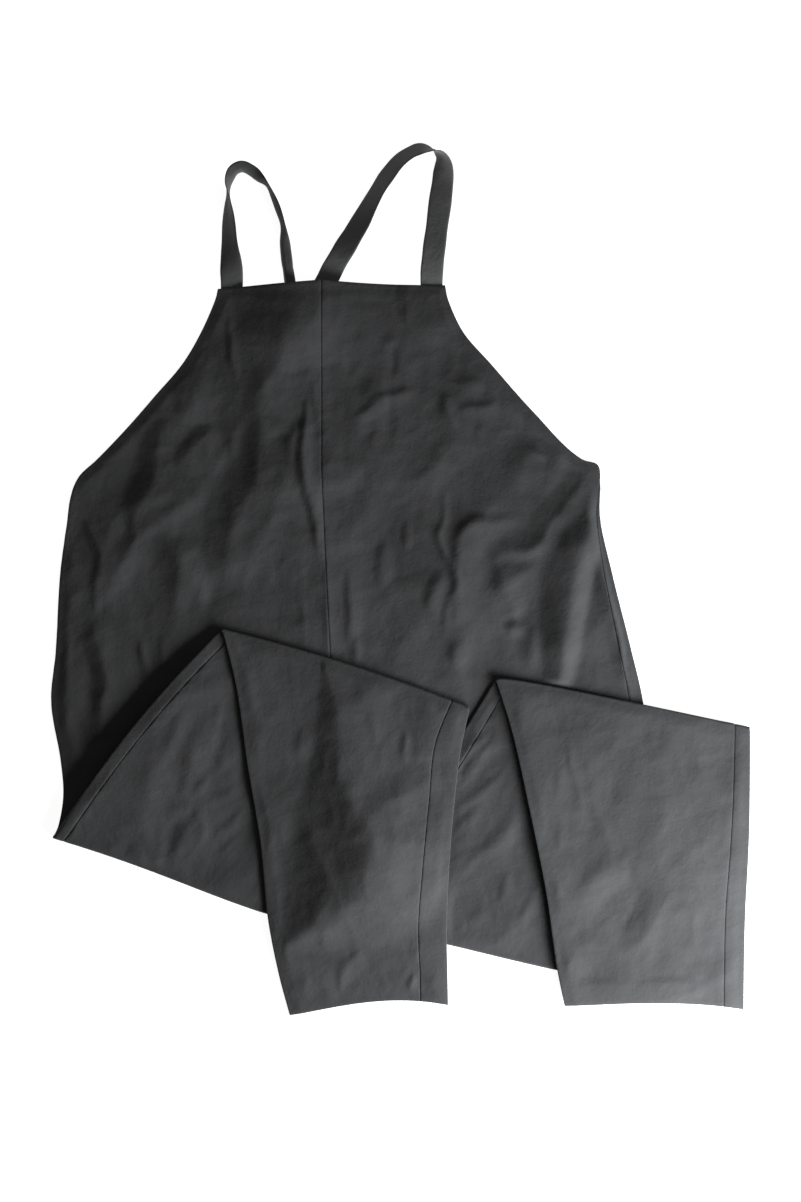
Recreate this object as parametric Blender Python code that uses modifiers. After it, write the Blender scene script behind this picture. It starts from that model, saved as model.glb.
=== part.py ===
"""Sleeveless charcoal jumpsuit, laid flat face up, with both legs folded up and back down.

Each leg with its half of the body is a flattened tube: a front panel and a back panel that
meet at the side seam and the inner-leg seam.  The tube runs down from the body to the bottom
fold, up again to the top fold, and down to the hem.  Left and right are as seen from above
with the neck at +Y.  Sizes below are millimetres; the meshes are in metres.
"""
import math
from collections import namedtuple

import bpy
import numpy as np

MM = 0.001                # metres in a millimetre
NAME = "folded_jumpsuit"

# ---- cloth ------------------------------------------------------------------------------
WALL = 1.0                # thickness of a panel
GAP = 0.3                 # clearance between two pieces that meet
LAYER = 2.8               # from the middle of one wall to the middle of the next in the stack
EDGE = LAYER / 2          # radius of a tube's closed side edge, at the wall's middle
ARC = math.pi * EDGE / 2  # a quarter turn round that edge
BEND = 1.5 * LAYER        # radius of the outer wall in a fold of the leg
TUBE_HEIGHT = [WALL / 2 + EDGE + 2 * LAYER * level for level in range(3)]

STRAP_WIDTH = 24.0
STRAP_WALL = 1.5
STRAP_CREASE = 4.2        # width of the strap's middle, where it curls lengthways
STRAP_REST = 0.16         # clearance of the straps above the floor

# ---- how finely the panels are divided ----------------------------------------------------
ROW_SPACING = [48.0, 60.0, 52.0]    # on the body, the middle stretch and the lower stretch
TURN_STEPS = 4            # rows round a fold of the leg
EDGE_LEAD = 1             # columns on the part of a panel that wraps under or over
EDGE_STEPS = 3            # columns round a closed side edge
EDGE_CROWD = 1.2          # least distance between those columns
INNER_COLUMNS = {"front": 8, "back": 5}
STRAP_SPACING = 19.0

# ---- the cut, laid out --------------------------------------------------------------------
# One row for each section across a panel, from the neck to the hem.  seam_* is how far the
# seam has rolled from the edge: over the front face when positive, under to the back face
# when negative.  shut_* is 1 where front and back are closed into a tube at that edge and 0
# where the edge is open or runs along the centre seam.  bow is how far the section curves
# below its chord, and lean moves the deepest point to the right when it is over 1.
Row = namedtuple(
    "Row",
    "left_x left_y right_x right_y seam_left seam_right shut_left shut_right bow lean",
    defaults=[0.0, 1.0],
)

# The centre seam, from the crotch up: both halves keep to this line.
CENTRE_SEAM_Y = [-215, -135, -79, 20, 117, 325]
CENTRE_SEAM_X = [-69, -74, -76, -81, -85.3, -85.3]

LEFT_BIB = [
    Row(-197, 312, -85.3, 321.5, 0, 0, 0, 0),
    Row(-200, 300, -85.3, 301, 0, 0, 0, 0),
    Row(-215, 266, -85.3, 266, 0, 0, 0, 0),
    Row(-235, 232, -85.3, 232, 0, 0, 0, 0),
    Row(-264, 198, -85.3, 198, 0, 0, 0, 0),
    Row(-295, 162.5, -85.3, 166, 0, 0, 0, 0),
    Row(-328, 128, -85.3, 134, 0, 0, 0, 0),
    Row(-347, 110, -85.3, 112, 0, 0, 0, 0),
]
LEFT_BACK_TOP = [Row(-344, 106, -85.3, 150, 0, 0, 0, 0, bow=6)]
LEFT_BODY = [
    Row(-355, 92, -85.3, 92, -4, 0, 0.7, 0),
    Row(-360, 59, -84, 59, -5, 0, 1, 0),
    Row(-367, 7, -80, 7, -5, 0, 1, 0),
    Row(-372, -79, -76, -79, -6, 0, 1, 0),
    Row(-377, -131, -74, -135, -8, 0, 1, 0),
    Row(-367, -195, -69, -215, -12, 0, 1, 0, bow=1),
    Row(-364, -235, -65, -283, -12.5, 5, 1, 0.6, bow=4, lean=1.2),
    Row(-369, -266, -67, -335, -13, 14, 1, 1, bow=8, lean=2.0),
    Row(-375, -280, -71, -374, -13, 18, 1, 1, bow=10, lean=2.4),
]
LEFT_MID = [
    Row(-375, -280, -71, -374, -13, 18, 1, 1, bow=10, lean=2.4),
    Row(-333, -220, -35, -315, -13, 19, 1, 1, bow=4, lean=1.6),
    Row(-291, -164, 2, -256, -13.5, 20, 1, 1, bow=1),
    Row(-244, -109, 38, -198, -14, 20, 1, 1, bow=-3),
    Row(-192, -54, 74.5, -139, -15, 21, 1, 1, bow=-5),
]
LEFT_LOWER = [
    Row(-192, -54, 74.5, -139, -15, 21, 1, 1, bow=-5),
    Row(-177, -116, 64.5, -187, -20, 29, 1, 1, bow=-4),
    Row(-165, -200, 57, -251, -25, 28, 1, 1, bow=-2),
    Row(-151, -284, 52, -316, -28, 29, 1, 1),
    Row(-142.5, -368, 49.7, -380, -29, 31, 1, 1),
    Row(-130.5, -430, 50.5, -428, -29, 30, 1, 1, bow=-4, lean=1.2),
    Row(-119.5, -471, 51.2, -460, -29, 30, 1, 1, bow=-9, lean=1.3),
]

RIGHT_BIB = [
    Row(-85.3, 321.5, 48, 316, 0, 0, 0, 0, bow=1.5),
    Row(-85.3, 301, 51.5, 300, 0, 0, 0, 0),
    Row(-85.3, 266, 67.5, 266, 0, 0, 0, 0),
    Row(-85.3, 232, 97, 232, 0, 0, 0, 0),
    Row(-85.3, 180, 143, 180, 0, 0, 0, 0),
    Row(-85.3, 134, 196, 128.5, 0, 0, 0, 0),
    Row(-85.3, 119, 213, 122.5, 0, 0, 0, 0),
]
RIGHT_BACK_TOP = [Row(-85.3, 150, 208, 116, 0, 0, 0, 0, bow=8)]
RIGHT_BODY = [
    Row(-85.3, 100, 215.5, 104, 0, 2.5, 0, 0.7),
    Row(-84, 64, 215, 68, 0, 4, 0, 1),
    Row(-80, 7, 228, 7, 0, 9, 0, 1),
    Row(-76, -79, 249.5, -79, 0, 13.5, 0, 1),
    Row(-74, -135, 262, -135, 0, 15, 0, 1),
    Row(-69, -215, 268, -240, 0, 15, 0, 1, bow=1),
    Row(-62.5, -283, 271, -320, -5, 15, 0.6, 1, bow=4, lean=1.4),
    Row(-60.5, -335, 274, -390, -12, 15, 1, 1, bow=8, lean=1.9),
    Row(-60.5, -372, 276.5, -431.5, -15, 15, 1, 1, bow=10, lean=2.2),
]
RIGHT_MID = [
    Row(-60.5, -372, 276.5, -431.5, -15, 15, 1, 1, bow=10, lean=2.2),
    Row(-6, -284.5, 310, -341, -16, 15, 1, 1, bow=3, lean=1.4),
    Row(48.5, -197, 343.5, -251, -17, 16, 1, 1, bow=-2),
    Row(102.6, -109.6, 377, -160.5, -17, 17, 1, 1, bow=-5, lean=0.4),
]
RIGHT_LOWER = [
    Row(102.6, -109.6, 377, -160.5, -17, 17, 1, 1, bow=-5, lean=0.4),
    Row(119.5, -163, 377, -206, -17, 18, 1, 1, bow=-3.5, lean=0.6),
    Row(138, -245, 376, -280, -19, 20, 1, 1, bow=-1),
    Row(157, -340, 372, -365, -21, 22, 1, 1),
    Row(168.7, -420, 370.7, -430, -21, 22, 1, 1, bow=-2),
    Row(177, -460.5, 370.4, -465, -21, 22, 1, 1, bow=-5.5, lean=1.3),
]

# ---- straps -------------------------------------------------------------------------------
# Points along the middle of a strap.  tilt turns it about its own length, from lying face up
# at 0 to lying face down at 180; curl folds it lengthways, along a line that lies crease
# millimetres from its middle; lift raises it off the floor.
StrapRow = namedtuple("StrapRow", "x y tilt curl crease lift")

LEFT_STRAP = [
    StrapRow(-182.5, 299, 0, 0, 0, 0),
    StrapRow(-182, 320, 0, 0, 0, 0),
    StrapRow(-184, 357, 40, 10, 0, 0),
    StrapRow(-185.3, 396, 60, 10, 0, 0),
    StrapRow(-186, 411, 70, 10, 0, 0),
    StrapRow(-185.8, 422, 88, 10, 0, 0),
    StrapRow(-184.5, 434.5, 104, 10, 0, 0),
    StrapRow(-179.5, 444, 116, 10, 0, 0),
    StrapRow(-170, 447, 122, 10, 0, 0),
    StrapRow(-159, 441, 112, 10, 0, 0),
    StrapRow(-151, 432.5, 100, 10, 0, 0),
    StrapRow(-143.5, 424, 94, 10, 0, 0),
    StrapRow(-136.2, 412, 91, 12, 0, 0),
    StrapRow(-130.5, 397, 92, 16, 0, 0),
    StrapRow(-126, 381, 92, 40, 0, 0),
    StrapRow(-124, 361, 90, 130, 0, 0),
    StrapRow(-122, 342, 90, 155, 0, 0),
    StrapRow(-119, 321, 90, 168, 0, 0),
    StrapRow(-116, 303, 90, 168, -5, 2.1),
    StrapRow(-111, 283, 92, 168, -8.5, 2.1),
    StrapRow(-106, 263, 130, 90, -8.5, 2.1),
    StrapRow(-99, 240, 180, 0, -6, 2.1),
    StrapRow(-88, 200, 180, 0, 0, 1.5),
    StrapRow(-76, 165, 180, 0, 0, 1.5),
    StrapRow(-72, 132, 180, 0, 0, 1.5),
]
RIGHT_STRAP = [
    StrapRow(33.5, 299, 0, 0, 0, 0),
    StrapRow(33.5, 318, 0, 0, 0, 0),
    StrapRow(35.6, 348, 4, 0, 0, 0),
    StrapRow(39.8, 383, 6, 0, 0, 0),
    StrapRow(44.4, 419.5, 14, 0, 0, 0),
    StrapRow(47.5, 438, 26, 0, 0, 0),
    StrapRow(45, 451, 54, 0, 0, 0),
    StrapRow(38.5, 459.5, 86, 0, 0, 0),
    StrapRow(29.5, 463.5, 110, 0, 0, 0),
    StrapRow(18, 461.5, 128, 0, 0, 0),
    StrapRow(6.5, 455, 136, 0, 0, 0),
    StrapRow(-3.5, 446, 139, 0, 0, 0),
    StrapRow(-13.8, 435, 141, 0, 0, 0),
    StrapRow(-26.3, 416, 143, 0, 0, 0),
    StrapRow(-43.5, 384, 154, 0, 0, 0),
    StrapRow(-62, 353.5, 168, 0, 0, 0),
    StrapRow(-73, 335, 180, 0, 0, 0),
    StrapRow(-80, 321, 180, 0, 0, 0),
    StrapRow(-108, 277, 180, 0, 0, 0),
    StrapRow(-124, 235, 180, 0, 0, 0),
    StrapRow(-127, 180, 180, 0, 0, 1.0),
    StrapRow(-127, 160, 180, 0, 0, 1.5),
    StrapRow(-127, 126, 180, 0, 0, 1.5),
]

# ---- height of the cloth ------------------------------------------------------------------
LOFT = [2.2, 1.8, 2.6]    # how far the visible cloth of each tube stands off the one below
LOFT_REACH = 38.0         # distance from an edge at which it is fully up
COVER_REACH = 30.0        # and from the edge of the layer that covers it
BIB_DROP = 1.0            # the bib lies this much lower where no back is below it
SIDE_REACH = 95.0         # width over which a leg sinks to the floor beside the body
HEM_REACH = 85.0          # and past the bottom fold

# The largest folds.  tube is 0 on the body, 1 on the leg's middle stretch, 2 on its lower
# one; height is positive for a ridge and negative for a trough.
Fold = namedtuple("Fold", "tube width height course")
FOLDS = [
    Fold(0, 15, -2.4, [(-147, 173), (-166, 131), (-158, 99), (-181, 66), (-198, -10)]),
    Fold(0, 13, 2.2, [(-136, 173), (-145, 106), (-174, 80), (-190, 14)]),
    Fold(0, 16, -2.0, [(-246, 184), (-281, 141), (-292, 51)]),
    Fold(0, 16, 2.4, [(-243, 106), (-288, 46), (-315, -12)]),
    Fold(0, 15, 2.0, [(-254, 35), (-230, -14), (-198, -39)]),
    Fold(0, 14, -1.8, [(-341, -77), (-330, -170)]),
    Fold(0, 14, 2.4, [(-320, -66), (-300, -125)]),
    Fold(0, 15, 2.8, [(210, 72), (194, 19), (181, -39), (174, -110)]),
    Fold(0, 18, -2.4, [(160, 27), (160, -66), (156, -110)]),
    Fold(0, 14, 2.2, [(190, 100), (165, 64), (118, 30)]),
    Fold(0, 14, 2.0, [(72, 54), (65, -34)]),
    Fold(0, 14, -1.8, [(45, 43), (59, 0), (49, -61)]),
    Fold(2, 18, -2.6, [(-84, -113), (-87, -162), (-70, -230), (-93, -302), (-124, -380)]),
    Fold(2, 16, -2.0, [(177, -141), (189, -215), (200, -259)]),
    Fold(2, 20, 2.0, [(272, -322), (218, -395)]),
    Fold(1, 16, 1.8, [(-243, -275), (-258, -317)]),
]
OVER_STRAP = Fold(0, 27, 9.4, [(-123, 356), (-100, 222)])   # the neck lifted by the left strap


# ---- small tools --------------------------------------------------------------------------
def ramp(value):
    """0 below 0, 1 above 1, and a smooth rise between."""
    t = np.clip(value, 0.0, 1.0)
    return t * t * (3.0 - 2.0 * t)


def nearest_on_course(x, y, course, closed=False):
    """Distance from points to a line of straight runs, and how far along it that is (0 to 1)."""
    points = np.array(course, float)
    if closed:
        points = np.vstack([points, points[:1]])
    lengths = np.hypot(*np.diff(points, axis=0).T)
    best = np.full(x.shape, 1e9)
    along = np.zeros(x.shape)
    walked = 0.0
    for start, end, length in zip(points[:-1], points[1:], lengths):
        step = (end - start) / length
        t = np.clip((x - start[0]) * step[0] + (y - start[1]) * step[1], 0.0, length)
        distance = np.hypot(x - start[0] - step[0] * t, y - start[1] - step[1] * t)
        nearer = distance < best
        best = np.where(nearer, distance, best)
        along = np.where(nearer, (walked + t) / lengths.sum(), along)
        walked += length
    return best, along


def outside(x, y, outline):
    """Distance to a closed outline, negative inside it."""
    distance, _ = nearest_on_course(x, y, outline, closed=True)
    inside = np.zeros(x.shape, bool)
    for (x1, y1), (x2, y2) in zip(outline, outline[1:] + outline[:1]):
        crosses = (y1 > y) != (y2 > y)
        level = y2 - y1 if y2 != y1 else 1.0
        inside ^= crosses & (x < x1 + (x2 - x1) * (y - y1) / level)
    return np.where(inside, -distance, distance)


def left_edge(rows):
    return [(row.left_x, row.left_y) for row in rows]


def right_edge(rows):
    return [(row.right_x, row.right_y) for row in reversed(rows)]


def bow_depth(share, bow, lean):
    """How far below its chord a row lies, a given share of the way across."""
    leaned = share ** lean
    return 4 * bow * leaned * (1 - leaned)


def bowed_points(row):
    """Three points along a row between its ends, left to right."""
    chord = np.array([row.right_x - row.left_x, row.right_y - row.left_y])
    below = np.array([chord[1], -chord[0]]) / math.hypot(*chord)
    points = []
    for share in (0.25, 0.5, 0.75):
        point = np.array([row.left_x, row.left_y]) + share * chord
        points.append(tuple(point + bow_depth(share, row.bow, row.lean) * below))
    return points


def outline_of(rows):
    """The outline of a run of rows: down the left edges and back up the right ones."""
    return left_edge(rows) + bowed_points(rows[-1]) + right_edge(rows) + bowed_points(rows[0])[::-1]


def smooth_rows(rows, spacing, edges):
    """The table's rows with more between them, on a smooth course through them all.

    The first columns are the x and y of one or two edges, whose longer step sets how many.
    """
    table = np.array(rows, float)
    steps_taken = np.diff(table[:, :2 * edges], axis=0).reshape(-1, edges, 2)
    reach = np.hypot(steps_taken[..., 0], steps_taken[..., 1]).max(axis=1)
    slopes = (table[1:] - table[:-1]) / reach[:, None]
    tangents = np.vstack([slopes[:1], (slopes[1:] + slopes[:-1]) / 2, slopes[-1:]])
    result = [table[0]]
    for i, length in enumerate(reach):
        steps = max(1, math.ceil(length / spacing))
        for step in range(1, steps + 1):
            t = step / steps
            rise = t * t * (3 - 2 * t)
            leave = t * (1 - t) ** 2 * length
            arrive = t * t * (t - 1) * length
            blend = table[i] * (1 - rise) + table[i + 1] * rise
            result.append(blend + tangents[i] * leave + tangents[i + 1] * arrive)
    return np.array(result)


def keep_to_centre_seam(table):
    """Puts the centre edge of the rows above the crotch exactly on the centre seam."""
    for column in (0, 2):
        y = table[:, column + 1]
        x = np.interp(y, CENTRE_SEAM_Y, CENTRE_SEAM_X)
        near = (np.abs(table[:, column] - x) < 3.0) & (y >= CENTRE_SEAM_Y[0] - 1)
        table[near, column] = x[near]
    return table


# ---- the folded garment's outlines --------------------------------------------------------
LEGS_END = (
    bowed_points(LEFT_BODY[-1])
    + [(LEFT_BODY[-1].right_x, LEFT_BODY[-1].right_y)]
    + [(RIGHT_BODY[-1].left_x, RIGHT_BODY[-1].left_y)]
    + bowed_points(RIGHT_BODY[-1])
)
BACK_OUTLINE = left_edge(LEFT_BACK_TOP + LEFT_BODY) + LEGS_END + right_edge(RIGHT_BACK_TOP + RIGHT_BODY)
BACK_OUTLINE += [(LEFT_BACK_TOP[0].right_x, LEFT_BACK_TOP[0].right_y)]
FRONT_OUTLINE = left_edge(LEFT_BIB + LEFT_BODY) + LEGS_END + right_edge(RIGHT_BIB + RIGHT_BODY)
MID_OUTLINES = [outline_of(LEFT_MID), outline_of(RIGHT_MID)]
LOWER_OUTLINES = [outline_of(LEFT_LOWER), outline_of(RIGHT_LOWER)]
MIDDLES_OUTLINE = (
    left_edge(LEFT_MID)
    + bowed_points(LEFT_MID[-1])
    + [(LEFT_MID[-1].right_x, LEFT_MID[-1].right_y)]
    + [(RIGHT_MID[-1].left_x, RIGHT_MID[-1].left_y)]
    + bowed_points(RIGHT_MID[-1])
    + right_edge(RIGHT_MID)
    + LEGS_END[::-1]
)


def past(x, y, outlines):
    """Distance outside the nearest of some outlines, 0 inside."""
    return np.maximum(np.minimum.reduce([outside(x, y, line) for line in outlines]), 0.0)


def within(x, y, outlines):
    """Distance inside whichever outline holds the point, 0 outside them all."""
    return np.maximum(np.maximum.reduce([-outside(x, y, line) for line in outlines]), 0.0)


def sink(x, y):
    """How far each tube's stack sinks where nothing lies below it: body, middle, lower."""
    bib = BIB_DROP * ramp(past(x, y, [BACK_OUTLINE]) / LOFT_REACH)
    beside_body = 2 * LAYER * ramp(past(x, y, [BACK_OUTLINE]) / SIDE_REACH)
    beside_middle = 2 * LAYER * ramp(past(x, y, [MIDDLES_OUTLINE]) / HEM_REACH)
    return bib, beside_body, beside_body + beside_middle


def fold_height(x, y, fold):
    """Height of one ridge or trough, which dies away at its ends."""
    distance, along = nearest_on_course(x, y, fold.course)
    ends = ramp(along * 4) * ramp((1 - along) * 4)
    return fold.height * ends * np.exp(-(distance / fold.width) ** 2)


def swell(x, y):
    """How far the visible face of each tube stands up: body, middle, lower."""
    shown = [
        ramp(past(x, y, [MIDDLES_OUTLINE]) / COVER_REACH),
        ramp(past(x, y, LOWER_OUTLINES) / COVER_REACH),
        np.ones(x.shape),
    ]
    edges = [[FRONT_OUTLINE], MID_OUTLINES, LOWER_OUTLINES]
    heights = []
    for tube in range(3):
        up = ramp(within(x, y, edges[tube]) / LOFT_REACH)
        folds = sum(fold_height(x, y, fold) for fold in FOLDS if fold.tube == tube)
        heights.append(shown[tube] * up * (LOFT[tube] + folds))
    heights[0] += fold_height(x, y, OVER_STRAP)
    return heights


# ---- panels -------------------------------------------------------------------------------
def stations(stretches):
    """A panel's rows as (row, tube, turn); turn is None on the flat and 0 to 1 round a fold."""
    result = []
    for tube, (rows, spacing) in enumerate(zip(stretches, ROW_SPACING)):
        table = keep_to_centre_seam(smooth_rows(rows, spacing, edges=2))
        first = 0 if tube == 0 else 1
        last = len(table) if tube == 2 else len(table) - 1
        result += [(row, tube, None) for row in table[first:last]]
        if tube < 2:
            result += [(table[-1], tube, step / TURN_STEPS) for step in range(TURN_STEPS + 1)]
    return result


def columns_for(start, finish, wraps_right, total, inner):
    """Distances round the tube of a panel's columns, closer together where it wraps an edge."""
    if wraps_right:
        start, finish = total - finish, total - start
    lead = np.linspace(start, -ARC, EDGE_LEAD + 1)[:-1]
    turn = np.linspace(-ARC, ARC, EDGE_STEPS + 1)
    edge = np.concatenate([lead, turn])
    edge = np.maximum(edge, start + EDGE_CROWD * np.arange(edge.size))
    rest = np.linspace(edge[-1], finish, inner + 1)[1:]
    stops = np.concatenate([edge, rest])
    return total - stops[::-1] if wraps_right else stops


def across_tube(distance, width, total, shut_left, shut_right):
    """Place on the section of a flattened tube: how far across, and how far off its middle."""
    from_left = np.abs(distance)
    from_right = np.abs(total - distance)
    nearest = np.minimum(from_left, from_right)
    turn = np.minimum(nearest, ARC) / EDGE
    inward = EDGE * (1 - np.cos(turn)) + np.maximum(nearest - ARC, 0.0)
    wrapped = np.where((distance < 0) | (distance > total), -1.0, 1.0)
    rolled_across = np.where(from_left <= from_right, inward, width - inward)
    rolled_off = wrapped * EDGE * np.sin(turn)
    flat_across = distance * width / total
    shut = shut_left + (shut_right - shut_left) * np.clip(distance / total, 0.0, 1.0)
    return (
        rolled_across * shut + flat_across * (1 - shut),
        rolled_off * shut + EDGE * (1 - shut),
    )


def row_points(row, tube, turn, side, wraps_right):
    """One row of a panel, across its tube."""
    sign = 1.0 if side == "front" else -1.0
    left, right = row[0:2], row[2:4]
    seam_left, seam_right = row[4:6]
    shut_left, shut_right = np.clip(row[6:8], 0.0, 1.0)
    bow, lean = row[8:10]
    chord = right - left
    width = math.hypot(*chord)
    total = width - 2 * EDGE + 2 * ARC
    start = sign * seam_left + GAP / 2
    finish = total - sign * seam_right - GAP / 2
    stops = columns_for(start, finish, wraps_right, total, INNER_COLUMNS[side])
    across, off_middle = across_tube(stops, width, total, shut_left, shut_right)
    towards_front = sign * off_middle
    share = across / width
    below = np.array([chord[1], -chord[0]]) / width
    depth = bow_depth(np.clip(share, 0.0, 1.0), bow, lean)
    place = left + np.outer(share, chord) + np.outer(depth, below)

    if turn is None:
        faces_up = -1.0 if tube == 1 else 1.0
        height = TUBE_HEIGHT[tube] + faces_up * towards_front
        x, y = place.T
        on_top = np.clip(0.5 + 0.5 * faces_up * towards_front / EDGE, 0.0, 1.0)
        height += swell(x, y)[tube] * on_top - sink(x, y)[tube]
    else:
        # Round a fold the tube turns about an axis one layer above its middle: the front is
        # on the inside of the bottom fold and on the outside of the top one.
        inside = 1.0 if tube == 0 else -1.0
        outward = below if tube == 0 else -below
        angle = math.pi * turn
        radius = LAYER - inside * towards_front
        place = place + np.outer(radius * math.sin(angle) - BEND, outward)
        height = TUBE_HEIGHT[tube] + LAYER - radius * math.cos(angle)
        x, y = place.T
        sinks = sink(x, y)
        height -= sinks[tube] + (sinks[tube + 1] - sinks[tube]) * (1 - math.cos(angle)) / 2
    return np.column_stack([x, y, height])


def panel_points(side, stretches, wraps_right):
    """Coordinates of a panel's grid, shaped (rows, columns, 3)."""
    rows = [row_points(*station, side, wraps_right) for station in stations(stretches)]
    return np.array(rows) * MM


# ---- making the objects -------------------------------------------------------------------
def add_material(obj, color, roughness):
    material = bpy.data.materials.new(obj.name)
    material.use_nodes = True
    shader = material.node_tree.nodes["Principled BSDF"]
    shader.inputs["Base Color"].default_value = (*color, 1.0)
    shader.inputs["Roughness"].default_value = roughness
    shader.inputs["Metallic"].default_value = 0.0
    obj.data.materials.append(material)


def cloth_object(name, points, thickness, color, collection):
    """A grid laid on the points and thickened to a closed wall."""
    rows, columns = points.shape[:2]
    bpy.ops.mesh.primitive_grid_add(x_subdivisions=columns - 1, y_subdivisions=rows - 1, size=1.0)
    obj = bpy.context.object
    obj.name = name
    obj.data.name = name
    obj.data.vertices.foreach_set("co", points[::-1].reshape(-1))
    obj.data.update()
    obj.data.shade_smooth()
    wall = obj.modifiers.new("wall", "SOLIDIFY")
    wall.thickness = thickness * MM
    wall.offset = 0.0
    for owner in list(obj.users_collection):
        owner.objects.unlink(obj)
    collection.objects.link(obj)
    add_material(obj, color, 0.85)
    return obj


# ---- straps -------------------------------------------------------------------------------
def strap_points(rows):
    """Coordinates of a strap's grid: its section turns and curls as it goes along."""
    table = smooth_rows(rows, STRAP_SPACING, edges=1)
    table[:, 2] = np.clip(table[:, 2], 0.0, 180.0)
    table[:, 3] = np.maximum(table[:, 3], 0.0)
    heading = np.gradient(table[:, :2], axis=0)
    heading /= np.hypot(heading[:, 0], heading[:, 1])[:, None]
    half = STRAP_WIDTH / 2
    reach = STRAP_CREASE / 2
    curls = any(row.curl for row in rows)
    points = []
    for (x, y, tilt, curl, crease, lift), (along_x, along_y) in zip(table, heading):
        if curls:
            stops = [-half, crease - reach, crease - reach / 3, crease + reach / 3, crease + reach, half]
            bends = np.array([-0.5, -0.25, 0.0, 0.25, 0.5])
        else:
            stops = [-half, 0.0, half]
            bends = np.array([0.0, 0.0])
        runs = np.diff(stops)
        angles = np.radians(tilt + curl * bends)
        sideways = np.concatenate([[0.0], np.cumsum(runs * np.cos(angles))])
        upward = np.concatenate([[0.0], np.cumsum(runs * np.sin(angles))])
        sideways -= (sideways.max() + sideways.min()) / 2
        reach_down = STRAP_WALL / 2 * np.abs(np.cos(angles))
        reach_down = np.maximum(np.append(reach_down, 0.0), np.insert(reach_down, 0, 0.0))
        upward += STRAP_REST + lift - (upward - reach_down).min()
        points.append(np.column_stack([x + sideways * along_y, y - sideways * along_x, upward]))
    return np.array(points) * MM


# ---- build --------------------------------------------------------------------------------
PANEL_COLOR = (0.036, 0.036, 0.038)
STRAP_COLOR = (0.045, 0.045, 0.047)

PANELS = [
    ("front_left", "front", (LEFT_BIB + LEFT_BODY, LEFT_MID, LEFT_LOWER), False),
    ("back_left", "back", (LEFT_BACK_TOP + LEFT_BODY, LEFT_MID, LEFT_LOWER), True),
    ("front_right", "front", (RIGHT_BIB + RIGHT_BODY, RIGHT_MID, RIGHT_LOWER), False),
    ("back_right", "back", (RIGHT_BACK_TOP + RIGHT_BODY, RIGHT_MID, RIGHT_LOWER), True),
]
STRAPS = [("strap_left", LEFT_STRAP), ("strap_right", RIGHT_STRAP)]


def build():
    for obj in list(bpy.data.objects):
        bpy.data.objects.remove(obj, do_unlink=True)
    collection = bpy.data.collections.new(NAME)
    bpy.context.scene.collection.children.link(collection)
    for name, side, stretches, wraps_right in PANELS:
        points = panel_points(side, stretches, wraps_right)
        cloth_object(name, points, WALL, PANEL_COLOR, collection)
    for name, rows in STRAPS:
        cloth_object(name, strap_points(rows), STRAP_WALL, STRAP_COLOR, collection)


build()
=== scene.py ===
"""Looks of the folded charcoal jumpsuit: thin cloth shells, wrinkles, seams and a studio.

The shells follow the same cut as the solids of the model.  Each leg with its half of the body
is a flattened tube, a front panel and a back panel, that runs down from the body to the
bottom fold, up again to the top fold, and down to the hem.  Left and right are as seen from
above with the neck at +Y.  Sizes are millimetres until a mesh is made.
"""
import math
from collections import namedtuple

import bpy
import numpy as np
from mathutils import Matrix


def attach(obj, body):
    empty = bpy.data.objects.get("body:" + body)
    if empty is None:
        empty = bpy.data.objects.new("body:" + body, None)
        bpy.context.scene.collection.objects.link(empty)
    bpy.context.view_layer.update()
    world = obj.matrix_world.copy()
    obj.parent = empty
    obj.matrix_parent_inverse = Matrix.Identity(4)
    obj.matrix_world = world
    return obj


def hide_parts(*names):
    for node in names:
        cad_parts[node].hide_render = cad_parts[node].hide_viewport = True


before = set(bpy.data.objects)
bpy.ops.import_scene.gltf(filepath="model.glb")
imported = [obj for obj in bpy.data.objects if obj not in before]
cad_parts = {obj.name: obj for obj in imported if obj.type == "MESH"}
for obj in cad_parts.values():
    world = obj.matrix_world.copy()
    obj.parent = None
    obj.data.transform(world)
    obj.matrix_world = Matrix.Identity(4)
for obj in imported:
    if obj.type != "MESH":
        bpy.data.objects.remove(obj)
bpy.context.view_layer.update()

MM = 0.001  # metres in a millimetre

# ---- cloth ----
CLOTH = 0.45  # thickness of the shells
CLEAR = 0.02  # least clearance of the cloth above the floor
LAYER = 1.1  # from the middle of one wall to the middle of the next in the stack
FLOOR_WALL = 0.35  # height of the middle of the lowest wall
LOFT = [1.2, 0.9, 1.2]  # how much farther apart each tube's walls are away from its edges
EDGE = LAYER / 2  # radius of a tube's closed side edge
RISE = [2 * LAYER + loft for loft in LOFT]  # from the middle of each tube to the next
TUBE_HEIGHT = [FLOOR_WALL + EDGE + sum(RISE[:level]) for level in range(3)]
BEND = [rise / 2 + EDGE for rise in RISE]  # radius of the outer wall in a fold of the leg
GAP = 0.06  # clearance along a sewn seam
TUCK = 7.0  # width of the right halves' seam allowance under the left halves
TUCK_DEPTH = 0.9  # how far it lies below them
LIP = 0.26  # radius where an edge is turned under
FACING = 9.0  # width turned under at the neck and the armholes
HEM = 22.0  # and at the hems
FACING_DROP = 0.2  # how much deeper the inner edge of what is turned under lies
FAR = 1e3  # a distance past everything here

STRAP_WIDTH = 24.0
STRAP_WALL = 1.5
STRAP_REST = 0.16  # clearance of the straps above the floor
STRAP_UNEVEN = 1.0  # how far their edges stray

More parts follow.
